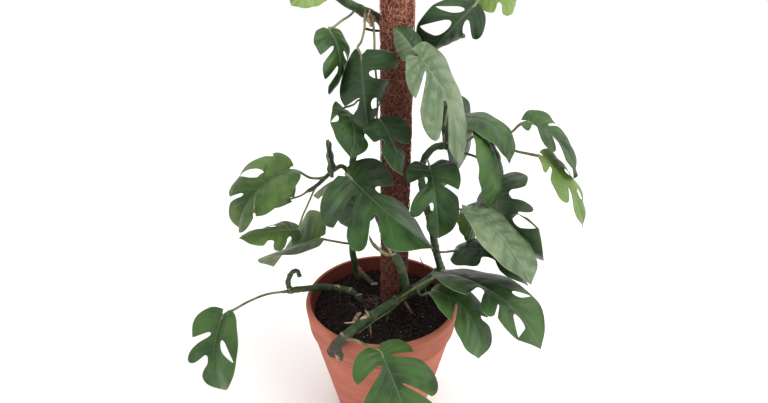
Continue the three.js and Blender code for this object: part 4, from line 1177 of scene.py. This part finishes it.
def rounded(profile, steps=7, reach=0.35):
    """A profile with its corners rounded: each becomes a parabola that starts and ends a part of the way
    along its shorter side."""
    p = np.asarray(profile, float)
    rows = [p[:1]]
    u = np.linspace(0, 1, steps)[:, None]
    for before, corner, after in zip(p[:-2], p[1:-1], p[2:]):
        size = min(np.linalg.norm(corner - before), np.linalg.norm(after - corner)) * reach
        enter = corner + (before - corner) / np.linalg.norm(before - corner) * size
        leave = corner + (after - corner) / np.linalg.norm(after - corner) * size
        rows.append((1 - u) ** 2 * enter + 2 * u * (1 - u) * corner + u**2 * leave)
    rows.append(p[-1:])
    return np.vstack(rows)


def make_pot(finish):
    """The pot's wall as one closed turned profile: foot, tapering body, rim band, lip, inside and drain
    hole. The value inside marks the inner wall, and the value groove marks the step under the band, where
    shade is painted."""
    body_top = POT_HEIGHT - BAND_HEIGHT
    profile = rounded([
        (DRAIN_RADIUS, 0),
        (BASE_RADIUS - 1.5, 0),
        (BASE_RADIUS, 2.5),
        (BODY_TOP_RADIUS, body_top - 2),
        (BODY_TOP_RADIUS - 0.6, body_top),
        (BAND_LOW_RADIUS - 0.4, body_top + 0.3),
        (BAND_LOW_RADIUS, body_top + 2.5),
        (RIM_RADIUS, POT_HEIGHT - 4.5),
        (RIM_RADIUS - 3.2, POT_HEIGHT),
        (RIM_RADIUS - WALL + 0.6, POT_HEIGHT - 0.8),
        (RIM_RADIUS - WALL, POT_HEIGHT - 6),
        (BODY_TOP_RADIUS - WALL, body_top),
        (BASE_RADIUS - WALL, FLOOR + 5),
        (BASE_RADIUS - WALL - 6, FLOOR),
        (DRAIN_RADIUS, FLOOR),
        (DRAIN_RADIUS, 0),
    ])
    radii, heights = profile.T
    facing_in = np.arange(len(profile)) > np.argmax(heights) + 4
    under_band = np.abs(heights - body_top - 0.4) < 2.2
    # Marks the step under the band for a painted shade
    groove = np.where(under_band & ~facing_in & (radii < BAND_LOW_RADIUS), 1.0, 0.0)
    inside = np.where(facing_in, INSIDE_TONE, 0.0)
    wall = joined([turned_sheet(profile, POT_SIDES, POT_WOBBLE, inside=inside, groove=groove)])
    make_piece("terracotta_pot_clay", [wall], [finish], "terracotta_pot")


def make_soil(finishes):
    """The bed as one closed skin: its top is the sum of three sizes of ripple and rises towards the wall.
    Chips, pale grains and a tangle of roots lie on it."""
    radius = SOIL_RADIUS * np.linspace(0, 1, SOIL_RINGS)[:, None] ** 0.8
    flat = radius[..., None] * circle(turns(SOIL_SPOKES))
    height = rippled(SOIL_HEIGHT, flat, SOIL_RIPPLES) + SOIL_RISE * (radius / SOIL_RADIUS) ** 6
    top = flat + height[..., None] * UP
    under = flat[[-1, 0]] + (SOIL_HEIGHT - SOIL_SKIN) * UP
    points = np.concatenate([top, under]).reshape(-1, 3)
    bed = joined([sheet(points, grid_faces(SOIL_RINGS + 2, SOIL_SPOKES, closed=True)[:, ::-1])])
    chips = crumbs(CHIPS, CHIP_SIZES, 21, 1)
    grains = crumbs(GRAINS, GRAIN_SIZES, 22, 2)
    make_piece("potting_soil_bed", [bed, chips, grains, *root_tangle()], finishes, "potting_soil")


def crumbs(count, sizes, seed, finish):
    """Small lumps on the soil: balls of a few rows of points, stretched, dented and turned at random."""
    rng = np.random.default_rng(seed)
    radius = (SOIL_RADIUS - 3) * np.sqrt(rng.uniform(0, 1, count))
    angle = rng.uniform(0, TAU, count)
    centre = radius[:, None] * circle(angle) + (SOIL_HEIGHT + 1.0) * UP
    size = rng.uniform(*sizes, (count, 1)) * rng.uniform(0.45, 1, (count, 3))
    size[:, 2] *= 0.6
    down = np.linspace(0.12, math.pi - 0.12, CRUMB_ROWS)[:, None, None]
    ball = (np.sin(down) * circle(turns(CRUMB_SIDES)) + np.cos(down) * UP).reshape(-1, 3)
    dent = rng.uniform(0.7, 1.2, (count, len(ball), 1))
    spin = rng.uniform(0, TAU, count)[:, None]
    x, y, z = np.moveaxis(ball[None] * dent * size[:, None], -1, 0)
    turned = np.stack([x * np.cos(spin) - y * np.sin(spin), x * np.sin(spin) + y * np.cos(spin), z], -1)
    points = centre[:, None] + turned
    side = grid_faces(CRUMB_ROWS, CRUMB_SIDES, closed=True)[:, ::-1]
    bottom = cap_faces(len(ball) - CRUMB_SIDES, CRUMB_SIDES)[:, [0, 2, 1]]
    faces = np.concatenate([side, cap_faces(0, CRUMB_SIDES), bottom])
    return sheet(points.reshape(-1, 3), repeated(faces, count, len(ball)), finish)


def root_tangle():
    """Short brown roots that cross each other between the stems, each a thin tube bent at its middle."""
    rng = np.random.default_rng(23)
    roots = []
    for _ in range(ROOTS):
        middle = np.array([*rng.normal(ROOT_PLACE, ROOT_SPREAD), SOIL_HEIGHT + rng.uniform(1.5, 6)])
        heading = rng.uniform(0, TAU)
        reach = rng.uniform(*ROOT_REACH)
        reach = reach * np.array([math.cos(heading), math.sin(heading), rng.uniform(-0.4, 0.4)])
        bend = rng.normal(0, ROOT_BEND, 3)
        path = smooth_path([middle - reach, middle + bend, middle + reach], len(ROOT_TAPER))
        roots.append(tube(path, rng.uniform(*ROOT_RADIUS) * np.array(ROOT_TAPER), ROOT_SIDES, 3))
    return roots


def make_coir(finishes):
    """The sleeve as one closed matted tube, its width the sum of two sizes of ripple, drawn in at both
    ends, with thousands of loose curly strands round it."""
    low, high = POLE_BOTTOM + 6, COIR_TOP - 1
    height = np.linspace(low, high, COIR_ROWS)[:, None]
    around = circle(turns(COIR_SIDES))[None]
    upright = height[..., None] * UP
    mat = rippled(0, around * COIR_RADIUS + upright, MAT_RIPPLES)
    ends = np.clip(np.minimum(height - low, high - height) / 2, 0, 1)
    radius = (COIR_RADIUS - STRAND_ROOM + mat) * (0.93 + 0.07 * np.sqrt(ends))
    outer = around * radius[..., None] + upright
    inner = around * (STAKE_RADIUS + 0.4) + np.array([high, low])[:, None, None] * UP
    points = np.concatenate([outer, inner, outer[:1]]) + np.array([*POLE, 0])
    tone = np.clip(0.4 + mat, 0, 1)
    tone = np.concatenate([tone, np.zeros((2, COIR_SIDES)), tone[:1]])
    faces = grid_faces(COIR_ROWS + 3, COIR_SIDES, closed=True)
    core = joined([sheet(points.reshape(-1, 3), faces, tone=tone.ravel())])
    make_piece("coir_sleeve_fibre", [core, strands()], finishes, "coir_sleeve")


def strands():
    """Curly fibres: each wanders over the sleeve's surface along a line that is bent by a parabola and
    hooked by a cube, with three sides and closed ends."""
    rng = np.random.default_rng(41)
    u = np.linspace(-1, 1, STRAND_PLACES)[None, :]
    height = rng.uniform(SOIL_HEIGHT - 6, COIR_TOP - 8, (STRANDS, 1))
    angle = rng.uniform(0, TAU, (STRANDS, 1))
    lean = rng.uniform(0, TAU, (STRANDS, 1))
    reach = rng.uniform(*STRAND_REACH, (STRANDS, 1))
    bend = rng.normal(0, STRAND_BEND, (STRANDS, 1))
    hook = rng.normal(0, STRAND_HOOK, (STRANDS, 1))
    along = reach * u
    across = bend * (1 - u**2) + hook * u**3
    over = along * np.cos(lean) - across * np.sin(lean)
    rise = along * np.sin(lean) + across * np.cos(lean)
    lift = COIR_RADIUS - 0.7 + 0.7 * rng.uniform(0, 1, (STRANDS, 1)) + 0.6 * (1 - u**2)
    out = circle(angle + over / COIR_RADIUS)
    upright = np.minimum(height + rise, COIR_TOP - 1)[..., None] * UP
    line = out * lift[..., None] + upright + np.array([*POLE, 0])
    tangent = np.gradient(line, axis=1)
    tangent /= np.linalg.norm(tangent, axis=-1)[..., None]
    side = np.cross(tangent, out)
    thick = rng.uniform(*STRAND_RADIUS, (STRANDS, 1, 1, 1))
    corner = turns(STRAND_SIDES)[:, None]
    ring = side[:, :, None] * np.cos(corner) + out[:, :, None] * np.sin(corner)
    points = (line[:, :, None] + ring * thick).reshape(-1, 3)
    size = STRAND_SIDES * STRAND_PLACES
    ends = [cap_faces(0, STRAND_SIDES)[:, [0, 2, 1]], cap_faces(size - STRAND_SIDES, STRAND_SIDES)]
    one = np.concatenate([grid_faces(STRAND_PLACES, STRAND_SIDES, closed=True), *ends])
    tone = np.repeat(rng.uniform(0, 1, STRANDS) ** 2, size)
    return sheet(points, repeated(one, STRANDS, size), 1, tone=tone)


def make_stake(finish):
    """The wooden stake that stands a little above the coir, with a rounded top."""
    profile = rounded([
        (0, POLE_BOTTOM), (STAKE_RADIUS, POLE_BOTTOM), (STAKE_RADIUS, STAKE_TOP - 1),
        (STAKE_RADIUS - 1, STAKE_TOP), (0, STAKE_TOP),
    ])
    wall = joined([turned_sheet(profile, 40)])
    wall["points"] += np.array([*POLE, 0])
    make_piece("pole_stake_wood", [wall], [finish], "pole_stake")


def make_floor():
    """A wide plain floor with a soft matt finish."""
    paint = Finish("studio_floor", 0.9, Specular_IOR_Level=0.1)
    paint.first(paint.noise(1.5), FLOOR_DEEP, FLOOR_LIGHT)
    mesh = bpy.data.meshes.new("studio_floor")
    corners = [(x * FLOOR_REACH, y * FLOOR_REACH, 0) for x, y in ((-1, -1), (1, -1), (1, 1), (-1, 1))]
    mesh.from_pydata(corners, [], [(0, 1, 2, 3)])
    mesh.materials.append(paint.done())
    floor = bpy.data.objects.new("studio_floor", mesh)
    bpy.context.scene.collection.objects.link(floor)


def make_light(name, place, size, power):
    """A square soft light at a place, with its size and power, turned towards the plant."""
    lamp = bpy.data.lights.new(name, "AREA")
    lamp.size, lamp.energy = size, power
    made = bpy.data.objects.new(name, lamp)
    made.location = place
    away = np.array(place) - np.array(LIGHT_AIM)
    tilt = math.atan2(math.hypot(away[0], away[1]), away[2])
    made.rotation_euler = (tilt, 0, math.atan2(away[0], -away[1]))
    bpy.context.scene.collection.objects.link(made)


def make_camera():
    """The camera at the photograph's viewing angle, looking straight ahead and down."""
    camera = bpy.data.objects.new("photo_camera", bpy.data.cameras.new("photo_camera"))
    camera.location = [value * MM for value in CAMERA_PLACE]
    camera.rotation_euler = (math.radians(90 - CAMERA_DOWN), 0, 0)
    camera.data.sensor_width = 36
    camera.data.lens = CAMERA_LENS
    camera.data.shift_y = CAMERA_SHIFT
    camera.data.clip_start, camera.data.clip_end = 0.01, 100
    bpy.context.scene.collection.objects.link(camera)
    bpy.context.scene.camera = camera


def make_room():
    """An even pale surround, a large window light, a weak light from above and the floor."""
    world = bpy.data.worlds.new("pale_room")
    world.use_nodes = True
    sky = world.node_tree.nodes["Background"]
    sky.inputs["Color"].default_value = SKY_COLOUR
    sky.inputs["Strength"].default_value = SKY_STRENGTH
    bpy.context.scene.world = world
    bpy.context.scene.view_settings.view_transform = "Standard"
    make_light("window_light", *WINDOW_LIGHT)
    make_light("ceiling_light", *CEILING_LIGHT)
    make_floor()


# Each leaf finish has a deep and a light green and the pale green of its veins
GREEN = leaf_finish("leaf_green_skin", (0.012, 0.038, 0.008), (0.044, 0.106, 0.019), (0.13, 0.19, 0.09))
RICH = leaf_finish("leaf_rich_skin", (0.009, 0.030, 0.006), (0.030, 0.082, 0.014), (0.12, 0.18, 0.09), 0.42)
DARK = leaf_finish("leaf_dark_skin", (0.008, 0.025, 0.008), (0.026, 0.065, 0.017), (0.09, 0.13, 0.07), 0.42)
MID = leaf_finish("leaf_mid_skin", (0.022, 0.058, 0.010), (0.084, 0.150, 0.028), (0.17, 0.24, 0.10))
# Pale green, with a painted sheen in cloudy patches between the veins
PALE = leaf_finish(
    "leaf_pale_skin", (0.065, 0.112, 0.050), (0.145, 0.200, 0.100), (0.24, 0.30, 0.18),
    roughness=0.40, paleness=0.45, sheen_patches=0.4,
)
# A green whose left half is paler: painted light on the lit half of a folded leaf
LIT_HALF = leaf_finish(
    "leaf_lit_half_skin", (0.014, 0.042, 0.012), (0.040, 0.088, 0.024), (0.13, 0.18, 0.09),
    roughness=0.40, paleness=0.3, lit_left_half=(0.115, 0.165, 0.080),
)
# A grey green that stands in for the sheen on a glossy leaf: painted sheen
GREY_SHEEN = leaf_finish(
    "leaf_grey_sheen_skin", (0.040, 0.072, 0.036), (0.100, 0.145, 0.080), (0.17, 0.22, 0.14), roughness=0.38,
)
YOUNG = leaf_finish(
    "leaf_young_skin", (0.090, 0.165, 0.028), (0.180, 0.275, 0.064), (0.32, 0.40, 0.16), paleness=0.5,
)
UNDER = underside_finish("leaf_underside_skin", (0.09, 0.15, 0.055), (0.18, 0.25, 0.105))
STALK = stalk_finish("leaf_stalk_skin", (0.060, 0.080, 0.030), (0.20, 0.205, 0.085))

# The leaves that aren't plain green
LEAF_LOOKS = {
    **dict.fromkeys(("upper_right", "upper_mid", "mid_pole"), DARK),
    **dict.fromkeys(("right_shade", "centre_shade", "right_dark"), DARK),
    **dict.fromkeys(("centre_big", "centre_right", "mid_left"), RICH),
    **dict.fromkeys(("left_mid_back", "left_mid_front", "left_low_front", "left_low_back"), MID),
    **dict.fromkeys(("right_small", "left_young"), MID),
    **dict.fromkeys(("upper_pale", "right_pale"), PALE),
    **dict.fromkeys(("top_right", "far_right_low", "top_left"), YOUNG),
    "right_back": GREY_SHEEN,
    "pole_pale": LIT_HALF,
}
LEAF_SLOTS = {
    **dict.fromkeys(("upper_pale", "right_pale", "pole_pale", "far_right_top"), "leaf_pale"),
    **dict.fromkeys(("top_right", "far_right_low", "top_left", "left_low_back"), "leaf_young"),
}

make_camera()
make_room()
make_pot(terracotta_finish())
make_soil([
    soil_finish(),
    bark_finish("soil_chip_bark", (0.010, 0.006, 0.006), (0.045, 0.025, 0.020)),
    bark_finish("soil_pale_grain", (0.45, 0.40, 0.33), (0.75, 0.70, 0.62)),
    bark_finish("soil_root_bark", (0.045, 0.025, 0.018), (0.22, 0.13, 0.095)),
])
make_coir([
    coir_finish("coir_mat_fibre", (0.026, 0.008, 0.006), (0.25, 0.082, 0.054)),
    coir_finish("coir_strand_fibre", (0.12, 0.037, 0.024), (0.85, 0.41, 0.28)),
])
make_stake(wood_finish())
STEM_FINISHES = [
    stem_finish(),
    bark_finish("stem_dry_scar", (0.10, 0.05, 0.032), (0.36, 0.21, 0.14)),
    bark_finish("stem_pale_scar", (0.30, 0.20, 0.13), (0.62, 0.47, 0.34)),
    STALK,
    bark_finish("stem_dark_sheath", (0.012, 0.009, 0.007), (0.05, 0.035, 0.025)),
]
for name, bars in STEMS.items():
    make_stem(name, bars, STEM_BITS[name], STEM_FINISHES)
for number, (name, facts) in enumerate(LEAVES.items()):
    finishes = [LEAF_LOOKS.get(name, GREEN), UNDER, STALK]
    make_leaf("leaf_" + name, facts, finishes, number)
